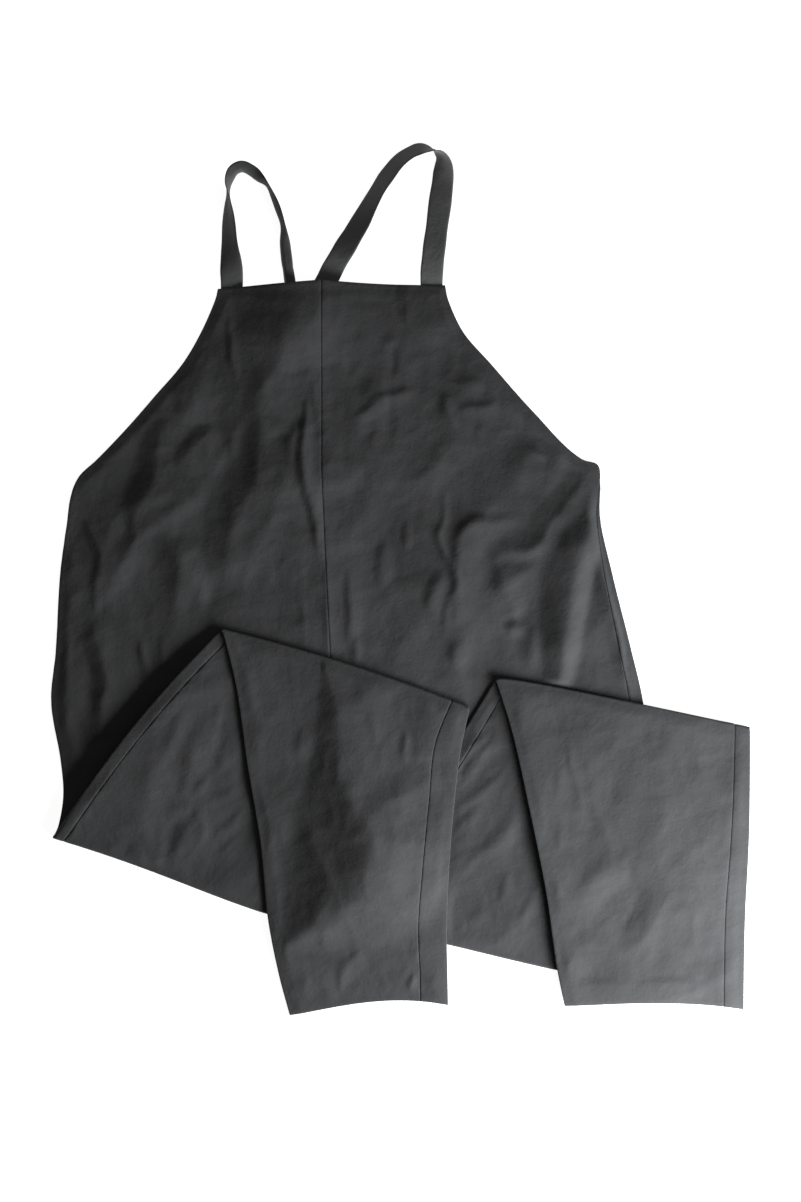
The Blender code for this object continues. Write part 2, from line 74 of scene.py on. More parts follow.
# ---- how finely the cloth is divided ----
SHOWN_ROWS = 4.2  # row spacing where the panel shows
HIDDEN_ROWS = 11.0  # and where another layer covers it
BAND_ROWS = 6.0  # and where only a band of it shows, past a rolled seam
TURN_STEPS = 12  # rows round a fold of the leg
FOLD_CLEAR = 1.0  # how near that fold the flat rows may come
LIP_STEPS = 5  # rows round an edge that is turned under
FACING_ROWS = 3.2  # and their spacing on what is turned under
SEAM_STEPS = [0.0, 0.03, 0.35, 0.8, 1.5, 2.4]  # distances of the columns by a seam
TUCK_STEPS = [1.0, 0.5, 0.06, 0.03]  # and of those on the tucked allowance, as shares of it
LEAD_COLUMNS = 6  # columns on the part of a panel that wraps round an edge
EDGE_COLUMNS = 6  # columns round that edge
INNER_COLUMNS = 94  # columns between the two edges
CROWD = 0.02  # least distance between columns
TINY = 1e-6
COURSE_SPACING = 9.0  # steps along the course of a fold
VALLEY_SPACING = 12.0  # and along the valley of a pleat
STRAP_SPACING = 3.0  # and along a strap
STRAP_COLUMNS = 12  # faces across each side of a strap

# ---- the cut, laid out ----
# One row for each section across a panel, from the neck to the hem.  seam_* is how far the
# seam has rolled from the edge: onto the front when positive, to the back when negative.
# shut_* is 1 where front and back are closed into a tube and 0 where the edge is open or on
# the centre seam.  bow is how far the section curves below its chord, and a lean over 1 moves
# the deepest point to the right.
Row = namedtuple(
    "Row",
    "left_x left_y right_x right_y seam_left seam_right shut_left shut_right bow lean",
    defaults=[0, 0, 0, 0, 0.0, 1.0],
)

CENTRE = -85.3  # where the centre seam lies above the waist
# The centre seam, from the crotch up: both halves keep to this line.
CENTRE_SEAM_Y = [-215, -135, -79, 20, 117, 325]
CENTRE_SEAM_X = [-69, -74, -76, -81, CENTRE, CENTRE]
CENTRE_REACH = 3.0  # an edge this near the line is put on it

LEFT_BIB = [
    Row(-197, 312, CENTRE, 321.5),
    Row(-200, 300, CENTRE, 301),
    Row(-215, 266, CENTRE, 266),
    Row(-235, 232, CENTRE, 232),
    Row(-264, 198, CENTRE, 198),
    Row(-295, 162.5, CENTRE, 166),
    Row(-328, 128, CENTRE, 134),
    Row(-347, 110, CENTRE, 112),
]
LEFT_BACK_TOP = [Row(-344, 106, CENTRE, 150, bow=6)]
LEFT_BODY = [
    Row(-355, 92, CENTRE, 92, -4, 0, 0.7, 0),
    Row(-360, 59, -84, 59, -5, 0, 1, 0),
    Row(-367, 7, -80, 7, -5, 0, 1, 0),
    Row(-372, -79, -76, -79, -6, 0, 1, 0),
    Row(-377, -131, -74, -135, -8, 0, 1, 0),
    Row(-367, -195, -69, -215, -12, 0, 1, 0, bow=1),
    Row(-364, -235, -65, -283, -12.5, 5, 1, 0.6, bow=4, lean=1.2),
    Row(-369, -266, -67, -335, -13, 14, 1, 1, bow=8, lean=2.0),
    Row(-375, -280, -71, -374, -13, 18, 1, 1, bow=10, lean=2.4),
]
LEFT_MID = [
    LEFT_BODY[-1],
    Row(-333, -220, -35, -315, -13, 19, 1, 1, bow=4, lean=1.6),
    Row(-291, -164, 2, -256, -13.5, 20, 1, 1, bow=1),
    Row(-244, -109, 38, -198, -14, 20, 1, 1, bow=-3),
    Row(-192, -54, 74.5, -139, -15, 21, 1, 1, bow=-5),
]
LEFT_LOWER = [
    LEFT_MID[-1],
    Row(-177, -116, 64.5, -187, -20, 29, 1, 1, bow=-4),
    Row(-165, -200, 57, -251, -25, 28, 1, 1, bow=-2),
    Row(-151, -284, 52, -316, -28, 29, 1, 1),
    Row(-142.5, -368, 49.7, -380, -29, 31, 1, 1),
    Row(-130.5, -430, 50.5, -428, -29, 30, 1, 1, bow=-4, lean=1.2),
    Row(-119.5, -471, 51.2, -460, -29, 30, 1, 1, bow=-9, lean=1.3),
]

RIGHT_BIB = [
    Row(CENTRE, 321.5, 48, 316, bow=1.5),
    Row(CENTRE, 301, 51.5, 300),
    Row(CENTRE, 266, 67.5, 266),
    Row(CENTRE, 232, 97, 232),
    Row(CENTRE, 180, 143, 180),
    Row(CENTRE, 134, 196, 128.5),
    Row(CENTRE, 119, 213, 122.5),
]
RIGHT_BACK_TOP = [Row(CENTRE, 150, 208, 116, bow=8)]
RIGHT_BODY = [
    Row(CENTRE, 100, 215.5, 104, 0, 2.5, 0, 0.7),
    Row(-84, 64, 215, 68, 0, 4, 0, 1),
    Row(-80, 7, 228, 7, 0, 9, 0, 1),
    Row(-76, -79, 249.5, -79, 0, 13.5, 0, 1),
    Row(-74, -135, 262, -135, 0, 15, 0, 1),
    Row(-69, -215, 268, -240, 0, 15, 0, 1, bow=1),
    Row(-62.5, -283, 271, -320, -5, 15, 0.6, 1, bow=4, lean=1.4),
    Row(-60.5, -335, 274, -390, -12, 15, 1, 1, bow=8, lean=1.9),
    Row(-60.5, -372, 276.5, -431.5, -15, 15, 1, 1, bow=10, lean=2.2),
]
RIGHT_MID = [
    RIGHT_BODY[-1],
    Row(-6, -284.5, 310, -341, -16, 15, 1, 1, bow=3, lean=1.4),
    Row(48.5, -197, 343.5, -251, -17, 16, 1, 1, bow=-2),
    Row(102.6, -109.6, 377, -160.5, -17, 17, 1, 1, bow=-5, lean=0.4),
]
RIGHT_LOWER = [
    RIGHT_MID[-1],
    Row(119.5, -163, 377, -206, -17, 18, 1, 1, bow=-3.5, lean=0.6),
    Row(138, -245, 376, -280, -19, 20, 1, 1, bow=-1),
    Row(157, -340, 372, -365, -21, 22, 1, 1),
    Row(168.7, -420, 370.7, -430, -21, 22, 1, 1, bow=-2),
    Row(177, -460.5, 370.4, -465, -21, 22, 1, 1, bow=-5.5, lean=1.3),
]

# ---- straps ----
# Points along the middle of a strap.  tilt turns it about its own length, from face up at 0
# to face down at 180; curl folds it lengthways, along a line that lies crease millimetres
# from its middle; lift raises it off the floor.
StrapRow = namedtuple("StrapRow", "x y tilt curl crease lift", defaults=[0, 0, 0, 0])

LEFT_STRAP = [StrapRow(*row) for row in [
    (-182.5, 299, 0, 0, 0, 0.8),
    (-182, 318, 0, 0, 0, 1.0),
    (-182.2, 330, 8, 2, 0, 2.0),
    (-182.6, 341, 20, 6, 0, 1.8),
    (-184, 357, 38, 10, 0, 1.0),
    (-185.3, 392, 60, 10),
    (-186, 406, 74, 20),
    (-185.8, 417, 87, 30),
    (-184.4, 428.5, 94, 90, 0, 4),
    (-179.5, 439, 97, 145, 0, 8),
    (-170.5, 443, 97, 155, 0, 9),
    (-159.5, 438.5, 97, 145, 0, 8),
    (-151, 431, 95, 100, 0, 4),
    (-143.5, 423.5, 91, 30, 0, 0.5),
    (-137, 411, 99, 30),
    (-131, 396, 101, 40),
    (-126.2, 380, 93, 50),
    (-124, 361, 90, 130),
    (-122, 342, 90, 155),
    (-119, 321, 90, 168),
    (-116, 303, 90, 168, -5, 2.1),
    (-111, 283, 92, 168, -8.5, 2.1),
    (-106, 263, 130, 90, -8.5, 2.1),
    (-99, 240, 180, 0, -6, 2.1),
    (-88, 200, 180, 0, 0, 1.5),
    (-76, 165, 180, 0, 0, 1.5),
    (-72, 132, 180, 0, 0, 1.5),
]]
RIGHT_STRAP = [StrapRow(*row) for row in [
    (33.5, 299, 0, 0, 0, 0.8),
    (33.5, 317, 0, 0, 0, 1.0),
    (33.8, 330, 1, 0, 0, 2.2),
    (35.6, 350, 4, 0, 0, 2.4),
    (39.8, 383, 6, 0, 0, 0.8),
    (43.4, 411, 10),
    (46, 434, 20),
    (45.6, 447, 42),
    (42.4, 455, 68, 12),
    (38, 459, 88, 20),
    (33, 461, 106, 12),
    (28.2, 462.4, 118),
    (20.5, 462.6, 130),
    (10.8, 458.8, 131),
    (-1.2, 450.3, 134),
    (-13.8, 435, 136),
    (-22.8, 421.5, 134),
    (-32.5, 404.5, 138),
    (-43.5, 384, 152),
    (-62, 353.5, 168),
    (-73, 335, 180),
    (-80, 321, 180),
    (-108, 277, 180),
    (-124, 235, 180),
    (-127, 180, 180, 0, 0, 1.0),
    (-127, 160, 180, 0, 0, 1.5),
    (-127, 126, 180, 0, 0, 1.5),
]]

# ---- height of the cloth ----
LOFT_REACH = 14.0  # distance from an edge at which the cloth is fully up
EDGE_REACH = 14.0  # and at which its folds are
PRESS_REACH = 6.0  # distance from the layer that covers them at which they are
DIP = 0.35  # how far the visible cloth may dip into the space below it
DIP_REACH = 8.0  # and how far inside a turned-under edge it may
FOLLOW = 0.15  # share of a fold that the hidden wall below it rises by
STRAP_LIFT = 1.7  # how far a strap under the bib holds it up
SIDE_REACH = 95.0  # width over which a leg sinks to the floor beside the body
HEM_REACH = 85.0  # and past the bottom fold

# Folds and wrinkles.  tube is 0 on the body, 1 on the leg's middle stretch, 2 on its lower
# one.  left and right are the widths of the two slopes, as one goes along the course, and
# height is positive for a ridge and negative for a trough.  A table's rows say left, right,
# height and the points of the course.
Fold = namedtuple("Fold", "tube left right height course")


def folds_of(tube, rows):
    return [Fold(tube, *row[:3], row[3:]) for row in rows]


BODY_LEFT_FOLDS = [
    (22, 70, 5.6, (-290, 48), (-283, 70), (-265, 110), (-260, 139), (-256, 172)),
    (14, 36, 3.0, (-240, 118), (-230, 132), (-216, 148), (-200, 163)),
    (6, 8, 1.2, (-180, 131), (-181, 153)),
    (30, 105, 6.8, (-194, -8), (-186, 31), (-178, 64), (-166, 86), (-154, 101), (-152, 135), (-147, 176)),
    (60, 45, 4.0, (-165, 150), (-145, 205), (-126, 252), (-104, 306)),
    (7, 8, 1.4, (-119, 125), (-114, 165)),
    (8, 12, 3.6, (-89, 30), (-93, 76), (-102, 104), (-104, 142), (-101, 192)),
    (24, 30, 3.8, (-206, -27), (-232, 10), (-243, 25), (-256, 50)),
    (7, 14, 2.2, (-330, -33), (-327, 0), (-321, 22), (-341, 66)),
    (15, 32, 4.8, (-322, -174), (-320, -136), (-316, -105), (-326, -74), (-333, -45)),
    (8, 18, 1.2, (-360, -170), (-358, -60)),
    (5, 8, 1.4, (-275, -100), (-280, -66)),
    (5, 8, 1.2, (-253, -95), (-257, -63)),
    (6, 10, 1.6, (-177, 211), (-183, 236), (-183, 261), (-186, 282)),
    (4, 5, 0.9, (-76, -92), (-81, 20)),
    (5, 5, 0.6, (-104, -88), (-106, 20)),
    (16, 22, 3.2, (-322, -30), (-306, 8), (-288, 38), (-256, 64), (-216, 96)),
    (20, 28, 2.0, (-236, 168), (-222, 196), (-208, 226)),
    (72, 40, 3.2, (-82, -90), (-80, -20), (-84, 60), (-86, 120)),
]
BODY_RIGHT_FOLDS = [
    (22, 14, 4.4, (92, 16), (118, 29), (150, 39), (161, 57), (173, 70), (183, 83), (206, 122)),
    (16, 6, 2.8, (243, -118), (236, -60), (226, -20), (215, 40), (213, 60)),
    (5, 6, 1.8, (47, -61), (51, -40), (60, -14), (58, 8), (47, 29), (42, 49), (47, 62), (45, 96)),
    (8, 28, 2.8, (57, -50), (64, -25), (61, 8), (63, 37), (73, 56), (98, 62), (135, 66)),
    (10, 20, 2.4, (124, -43), (116, -18), (100, 24)),
    (8, 12, 2.0, (118, -62), (124, -44)),
    (8, 16, 2.0, (59, -95), (60, -65)),
    (12, 14, 1.9, (140, -98), (143, -50)),
    (6, 16, 2.2, (-57, -72), (-54, -30), (-56, 10)),
    (5, 8, 1.3, (8, 30), (6, 62)),
    (8, 14, 1.5, (-22, -10), (-18, 40)),
    (5, 7, 1.6, (-49, -92), (-50, -58)),
    (10, 22, 2.0, (27, -30), (50, 6)),
    (4, 5, 1.5, (252, -136), (239, -77), (228, -23), (219, 20)),
    (3, 4, 1.2, (259, -136), (247, -83)),
    (75, 50, 3.5, (48, -130), (54, -60), (58, 0), (50, 60)),
    (22, 30, 2.2, (120, 96), (134, 124), (156, 140)),
    (18, 26, 1.8, (-30, 96), (-24, 130), (-34, 156)),
]
BIB_FOLDS = [
    (6, 12, 1.7, (-52, 174), (-33, 182), (-24, 191), (-3, 199), (19, 208)),
    (10, 6, -1.0, (-12, 214), (-8, 236), (-10, 254)),
    (9, 8, -1.0, (-12, 150), (-10, 196)),
    (5, 8, 0.8, (-24, 255), (-3, 258)),
    (9, 22, 0.6, (-75, 286), (-15, 291)),
    (5, 8, 0.5, (10, 270), (8, 300)),
    (4, 5, 0.6, (61, 261), (52, 274), (46, 290), (44, 304)),
    (9, 8, 2.0, (58, 162), (53, 180), (50, 200)),
    (6, 12, 1.6, (61, 181), (78, 184), (92, 186), (105, 194)),
    (8, 14, 1.2, (60, 206), (75, 210), (92, 212)),
    (5, 6, 0.6, (84, 152), (86, 166)),
    (5, 8, 1.1, (131, 157), (136, 144), (146, 137), (160, 130)),
]
MID_FOLDS = [
    (8, 12, -1.3, (-258, -315), (-252, -296), (-247, -278), (-242, -262)),
    (10, 12, 1.2, (-250, -262), (-240, -250), (-226, -244)),
    (7, 5, 0.8, (-240, -300), (-236, -276), (-226, -262)),
    (5, 7, 0.9, (-222, -290), (-214, -270), (-221, -248)),
    (5, 8, 0.8, (-210, -242), (-192, -238), (-176, -226)),
    (6, 8, 0.9, (-206, -276), (-186, -268), (-168, -248)),
    (5, 8, 0.6, (-232, -232), (-214, -224), (-204, -208)),
    (5, 7, 0.6, (-198, -296), (-182, -288), (-168, -274)),
    (14, 10, 1.6, (-236, -236), (-222, -190), (-206, -140)),
    (10, 9, 1.2, (-218, -214), (-204, -172), (-194, -132)),
    (9, 12, 1.0, (-262, -206), (-242, -166), (-226, -136)),
    (8, 10, 0.8, (-196, -206), (-184, -170)),
    (5, 8, 1.3, (-289, -284), (-282, -296), (-277, -308)),
    (7, 8, 0.9, (-316, -300), (-306, -284)),
    (16, 20, 1.2, (-286, -272), (-268, -232), (-262, -196)),
    (3, 4, 1.8, (71, -161), (85, -148), (98, -133)),
    (3, 3, 1.3, (72, -153), (82, -143), (93, -133)),
    (5, 7, 1.0, (60, -230), (72, -214), (86, -198)),
    (5, 7, 1.1, (63, -215), (80, -196), (99, -176)),
    (4, 6, 1.0, (64, -199), (78, -182), (92, -168)),
    (5, 9, 1.0, (60, -252), (84, -232), (118, -202)),
    (5, 8, 0.9, (57, -275), (72, -259), (88, -244)),
    (12, 14, 1.6, (92, -300), (108, -276), (122, -250)),
    (6, 9, 0.8, (60, -318), (80, -304), (98, -286)),
    (5, 8, 1.0, (106, -352), (112, -332), (119, -316)),
    (6, 9, 1.1, (126, -374), (140, -350), (148, -330)),
    (7, 9, 0.8, (76, -376), (90, -356)),
]
LOWER_FOLDS = [
    (22, 30, 3.0, (-38, -268), (-14, -242), (14, -226), (44, -216)),
    (7, 16, 1.5, (-64, -450), (-63, -425), (-52, -412), (-38, -400)),
    (10, 14, 1.2, (-104, -452), (-100, -425)),
    (6, 10, 1.0, (-84, -400), (-82, -372)),
    (5, 8, 1.3, (30, -445), (36, -425)),
    (5, 7, 1.3, (8, -446), (14, -428)),
    (8, 10, 0.8, (-110, -200), (-106, -160)),
    (8, 10, 0.9, (-26, -180), (-30, -140)),
    (6, 8, 0.9, (4, -200), (6, -165)),
    (5, 9, 0.7, (166, -230), (171, -213), (177, -196)),
    (5, 8, 0.7, (196, -246), (188, -214), (181, -170)),
    (6, 10, 0.6, (222, -278), (214, -258), (207, -240)),
    (5, 8, 0.7, (171, -292), (173, -262)),
    (5, 8, 0.8, (166, -342), (172, -330)),
    (30, 30, -1.2, (226, -269), (230, -190)),
    (18, 26, 1.8, (200, -330), (220, -316), (244, -302)),
    (14, 22, 1.7, (203, -398), (216, -378), (230, -360)),
    (18, 26, 1.5, (246, -386), (262, -362), (276, -338)),
    (20, 26, 1.0, (290, -372), (304, -350), (316, -330)),
]
FOLDS = folds_of(0, BODY_LEFT_FOLDS + BODY_RIGHT_FOLDS + BIB_FOLDS)
FOLDS += folds_of(1, MID_FOLDS) + folds_of(2, LOWER_FOLDS)

# Broad soft pleats.  They rise at these slopes from a valley line, on its right, to a crest at
# these distances from it, and fall away over a reach beyond.  rounding is how rounded the
# crest is, as a share of its distance from the valley.
Pleat = namedtuple("Pleat", "tube slopes rounding reach valley crest")
PLEATS = [
    Pleat(2, [0.25, 0.25], 0.26, 68, [(-126, -396), (-108, -318), (-96, -243), (-87, -169), (-84, -104)],
          [2, 40, 65, 72, 66, 42, 28, 22, 18, 6]),
    Pleat(0, [0.38, 0.30, 0.20], 0.24, 14,
          [(157, -136), (156, -90), (155, -45), (156, -10), (160, 25), (169, 55), (182, 82), (199, 108),
           (211, 122)],
          [11, 16, 21, 25, 29, 31, 34, 31, 19, 5]),
]
OVER_STRAP = Fold(0, 50, 64, 10.0, [(-123, 356), (-96, 205)])  # the neck lifted by the left strap
STRAP_FADE_IN = 0.25  # shares of its course over which that comes up
STRAP_FADE_OUT = 0.5  # and dies away
# The middles of the straps' stretches that lie under the bib.
STRAPS_BELOW = [
    [(-182.5, 330), (-182.5, 299)],
    [(33.5, 330), (33.5, 299)],
    [(-70, 338), (-108, 277), (-124, 235), (-127, 126)],
    [(-100, 240), (-88, 200), (-76, 165), (-72, 132)],
]
# Edges of the legs that stand up from what they lie on, highest along these courses.
EDGES_UP = [
    Fold(1, 12, 120, 10.0, [(-384, -300), (-333, -220), (-291, -164), (-244, -109), (-186, -48)]),
    Fold(2, 12, 60, 1.5, [(-118, -480), (-151, -284), (-165, -200), (-177, -116), (-194, -44)]),
    Fold(2, 12, 60, 5.0, [(178, -470), (157, -340), (138, -245), (119.5, -163), (100, -100)]),
]


# ---- small tools ----
def ramp(value):
    """0 below 0, 1 above 1, and a smooth rise between."""
    t = np.clip(value, 0.0, 1.0)
    return t * t * (3.0 - 2.0 * t)


def hump(distance, width):
    """1 at 0, falling away smoothly over a width on both sides."""
    return np.exp(-((distance / width) ** 2))


def walked(steps):
    """The way walked at the start and after each step."""
    return np.concatenate([[0.0], np.cumsum(steps)])


def nearest_on_course(x, y, course, closed=False):
    """Distance from points to a line of straight runs, how far along it that is (0 to 1),
    and whether the point is on its left."""
    points = np.array(course, float)
    if closed:
        points = np.vstack([points, points[:1]])
    lengths = np.hypot(*np.diff(points, axis=0).T)
    best = np.full(x.shape, np.inf)
    along = np.zeros(x.shape)
    on_left = np.zeros(x.shape, bool)
    for start, end, length, gone in zip(points[:-1], points[1:], lengths, walked(lengths)):
        step = (end - start) / length
        from_x, from_y = x - start[0], y - start[1]
        t = np.clip(from_x * step[0] + from_y * step[1], 0.0, length)
        distance = np.hypot(from_x - step[0] * t, from_y - step[1] * t)
        nearer = distance < best
        best = np.where(nearer, distance, best)
        along = np.where(nearer, (gone + t) / lengths.sum(), along)
        on_left = np.where(nearer, step[0] * from_y - step[1] * from_x > 0, on_left)
    return best, along, on_left


def outside(x, y, outline):
    """Distance to a closed outline, negative inside it."""
    distance, _, _ = nearest_on_course(x, y, outline, closed=True)
    inside = np.zeros(x.shape, bool)
    for (x1, y1), (x2, y2) in zip(outline, outline[1:] + outline[:1]):
        crosses = (y1 > y) != (y2 > y)
        level = y2 - y1 if y2 != y1 else 1.0
        inside ^= crosses & (x < x1 + (x2 - x1) * (y - y1) / level)
    return np.where(inside, -distance, distance)


def left_edge(rows):
    return [(row.left_x, row.left_y) for row in rows]


def right_edge(rows):
    return [(row.right_x, row.right_y) for row in reversed(rows)]


def bow_depth(share, bow, lean):
    """How far below its chord a row lies, a given share of the way across."""
    leaned = share ** lean
    return 4 * bow * leaned * (1 - leaned)


def bowed_points(row):
    """Three points along a row between its ends, left to right."""
    chord = np.array([row.right_x - row.left_x, row.right_y - row.left_y])
    below = np.array([chord[1], -chord[0]]) / math.hypot(*chord)
    points = []
    for share in (0.25, 0.5, 0.75):
        point = np.array([row.left_x, row.left_y]) + share * chord
        points.append(tuple(point + bow_depth(share, row.bow, row.lean) * below))
    return points


def hem_line(row):
    return left_edge([row]) + bowed_points(row) + right_edge([row])


def outline_of(rows):
    """The outline of a run of rows: down the left edges and back up the right ones."""
    return left_edge(rows) + bowed_points(rows[-1]) + right_edge(rows) + bowed_points(rows[0])[::-1]


def past_hem(rows):
    """The rows of a leg with one more past its open hem."""
    return rows + [Row(*(2 * np.array(rows[-1]) - np.array(rows[-2])))]


def smooth_rows(rows, spacing, edges):
    """The table's rows with more between them, on a smooth course through them all.

    The first columns are the x and y of one or two edges, whose longer step sets how many.
    """
    table = np.array(rows, float)
    steps_taken = np.diff(table[:, :2 * edges], axis=0).reshape(-1, edges, 2)
    reach = np.hypot(steps_taken[..., 0], steps_taken[..., 1]).max(axis=1)
    slopes = (table[1:] - table[:-1]) / reach[:, None]
    tangents = np.vstack([slopes[:1], (slopes[1:] + slopes[:-1]) / 2, slopes[-1:]])
    result = [table[0]]
    for i, length in enumerate(reach):
        steps = max(1, math.ceil(length / spacing))
        for step in range(1, steps + 1):
            t = step / steps
            rise = t * t * (3 - 2 * t)
            leave = t * (1 - t) ** 2 * length
            arrive = t * t * (t - 1) * length
            blend = table[i] * (1 - rise) + table[i + 1] * rise
            result.append(blend + tangents[i] * leave + tangents[i + 1] * arrive)
    return np.array(result)


def keep_to_centre_seam(table):
    """Puts the centre edge of the rows above the crotch exactly on the centre seam."""
    for column in (0, 2):
        y = table[:, column + 1]
        x = np.interp(y, CENTRE_SEAM_Y, CENTRE_SEAM_X)
        near = (np.abs(table[:, column] - x) < CENTRE_REACH) & (y >= CENTRE_SEAM_Y[0] - 1)
        table[near, column] = x[near]
    return table


WAVE_SCALE = 2.0  # crossing waves seldom crest together, so their sum is scaled up


def waves(seed, longest, shortest, count=16):
    """A gentle random unevenness, mostly between -1 and 1: crossing waves of set lengths."""
    rng = np.random.default_rng(seed)
    lengths = np.geomspace(longest, shortest, count)
    headings = rng.uniform(0, math.pi, count)
    phases = rng.uniform(0, 2 * math.pi, count)
    sizes = lengths / lengths.sum()

    def at(x, y):
        total = np.zeros(np.broadcast(x, y).shape)
        for length, heading, phase, size in zip(lengths, headings, phases, sizes):
            turn = 2 * math.pi / length
            total += size * np.sin(turn * (x * math.cos(heading) + y * math.sin(heading)) + phase)
        return total * WAVE_SCALE

    return at


# ---- the folded garment's outlines ----
def ends_of(left, right):
    """The line along the last rows of both legs' stretches, left to right."""
    between = right_edge(left[-1:]) + left_edge(right[-1:])
    return bowed_points(left[-1]) + between + bowed_points(right[-1])


LEGS_END = ends_of(LEFT_BODY, RIGHT_BODY)
BACK_OUTLINE = left_edge(LEFT_BACK_TOP + LEFT_BODY) + LEGS_END + right_edge(RIGHT_BACK_TOP + RIGHT_BODY)
BACK_OUTLINE += right_edge(LEFT_BACK_TOP)
FRONT_OUTLINE = left_edge(LEFT_BIB + LEFT_BODY) + LEGS_END + right_edge(RIGHT_BIB + RIGHT_BODY)
MID_OUTLINES = [outline_of(LEFT_MID), outline_of(RIGHT_MID)]
LOWER_OUTLINES = [outline_of(LEFT_LOWER), outline_of(RIGHT_LOWER)]
PAST_HEM_OUTLINES = [outline_of(past_hem(LEFT_LOWER)), outline_of(past_hem(RIGHT_LOWER))]
MIDDLES_OUTLINE = left_edge(LEFT_MID) + ends_of(LEFT_MID, RIGHT_MID) + right_edge(RIGHT_MID)
MIDDLES_OUTLINE += LEGS_END[::-1]

# The lines along which the cloth is turned under, on each tube, and how far.
TURNED_EDGES = [
    (FACING, [left_edge(LEFT_BIB)[::-1] + right_edge(RIGHT_BIB)[::-1]]),
    (0.0, []),
    (HEM, [hem_line(LEFT_LOWER[-1]), hem_line(RIGHT_LOWER[-1])]),
]


def depth_in(x, y, outlines):
    """Distance inside whichever outline holds the point, negative outside them all."""
    depths = [-outside(x, y, outline) for outline in outlines]
    return np.maximum.reduce([np.full(x.shape, -FAR), *depths])


def sink(x, y):
    """How far each tube's stack sinks where nothing lies below it: body, middle, lower."""
    beside_body = RISE[0] * ramp(-depth_in(x, y, [BACK_OUTLINE]) / SIDE_REACH)
    beside_middle = RISE[1] * ramp(-depth_in(x, y, [MIDDLES_OUTLINE]) / HEM_REACH)
    return np.array([0 * x, beside_body, beside_body + beside_middle])


# ---- wrinkles ----
CREST = 0.10  # rounding of a fold's top, as a share of its narrower side
LEAST_CREST = 0.5  # and the least it is, in millimetres
FOOT = 0.18  # share of its width over which a fold's foot runs out
PLEAT_FOOT = 0.12  # and over which a pleat's valley is rounded
END_WIDTH = 0.25  # share of its width that a fold keeps at its ends
END_SHAPE = 0.8  # how soon it comes up from them: the lower, the sooner
FOLD_REACH = 2.2  # how far from its course a fold is worked out, in times its wider side
WANDER = 3.0  # how far a fold's course wanders from its table
RUMPLE = 2.2  # height of the broad unevenness of the cloth
CRUMPLE = 0.55  # and of the fine one
RUMPLE_BLUNT = 0.07  # how rounded the ridges of the broad one are
CRUMPLE_BLUNT = 0.09  # and those of the fine one
FACET_LEVEL = 0.35  # how far the ridges between the facets stand up, as a share

wander_x = waves(11, 80, 24)
wander_y = waves(12, 80, 24)
rumple = waves(21, 190, 70, 10)
crumple = waves(22, 62, 22, 12)


def tent(distance, width, rounding, foot):
    """1 at 0, straight slopes to 0 at the width, with a rounded top and foot."""
    left_over = 1 - (np.hypot(distance, rounding) - rounding) / width
    return (left_over + np.hypot(left_over, foot)) / (1 + math.hypot(1, foot))


def fold_height(x, y, fold):
    """Height of one ridge or trough, which narrows and dies away towards its ends."""
    points = np.array(fold.course, float)
    reach = FOLD_REACH * max(fold.left, fold.right)
    low, high = points.min(axis=0) - reach, points.max(axis=0) + reach
    near = (x > low[0]) & (x < high[0]) & (y > low[1]) & (y < high[1])
    height = np.zeros(x.shape)
    if near.any():
        course = smooth_rows(points, COURSE_SPACING, edges=1)
        distance, along, on_left = nearest_on_course(x[near], y[near], course)
        ends = np.maximum(4 * along * (1 - along), 0.0) ** END_SHAPE
        width = np.where(on_left, fold.left, fold.right) * (END_WIDTH + (1 - END_WIDTH) * ends)
        rounding = LEAST_CREST + CREST * min(fold.left, fold.right)
        height[near] = fold.height * ends * tent(distance, width, rounding, FOOT)
    return height


def pleat_height(x, y, pleat):
    """Height of a soft pleat that rises to the right of its valley and falls away past its crest."""
    valley = smooth_rows(pleat.valley, VALLEY_SPACING, edges=1)
    distance, along, on_left = nearest_on_course(x, y, valley)
    width = np.interp(along, np.linspace(0, 1, len(pleat.crest)), pleat.crest)
    slope = np.interp(along, np.linspace(0, 1, len(pleat.slopes)), pleat.slopes)
    past_crest = np.where(on_left, -distance, distance) - width
    side = np.where(past_crest < 0, width, pleat.reach)
    rounding = pleat.rounding * width
    return slope * width * tent(np.abs(past_crest), side, rounding, PLEAT_FOOT)


def facets(wave, x, y, blunt):
    """Flattish facets between crisp ridges, from an even wave."""
    return FACET_LEVEL - np.hypot(wave(x, y), blunt)


def over_straps(x, y):
    """How far the straps that lie under the bib hold it up."""
    distance, along, on_left = nearest_on_course(x, y, OVER_STRAP.course)
    ends = ramp(along / STRAP_FADE_IN) * ramp((1 - along) / STRAP_FADE_OUT)
    width = np.where(on_left, OVER_STRAP.right, OVER_STRAP.left)
    lift = OVER_STRAP.height * ends * hump(distance, width)
    for course in STRAPS_BELOW:  # full out to a strap's width, and gone at twice that
        distance, _, _ = nearest_on_course(x, y, course)
        lift = np.maximum(lift, STRAP_LIFT * ramp(2 - distance / STRAP_WIDTH))
    return lift


def lifted_edges(x, y):
    """How far both walls of each tube are held up by the leg's edges that stand up."""
    lift = np.zeros((3, *x.shape))
    for edge in EDGES_UP:
        lift[edge.tube:] += fold_height(x, y, edge)
    return lift


def from_turned_edge(x, y, tube):
    """Distance inside the cloth that is turned under along a tube's edges."""
    width, lines = TURNED_EDGES[tube]
    distances = [nearest_on_course(x, y, line)[0] for line in lines]
    return np.minimum.reduce([np.full(x.shape, FAR), *distances]) - width


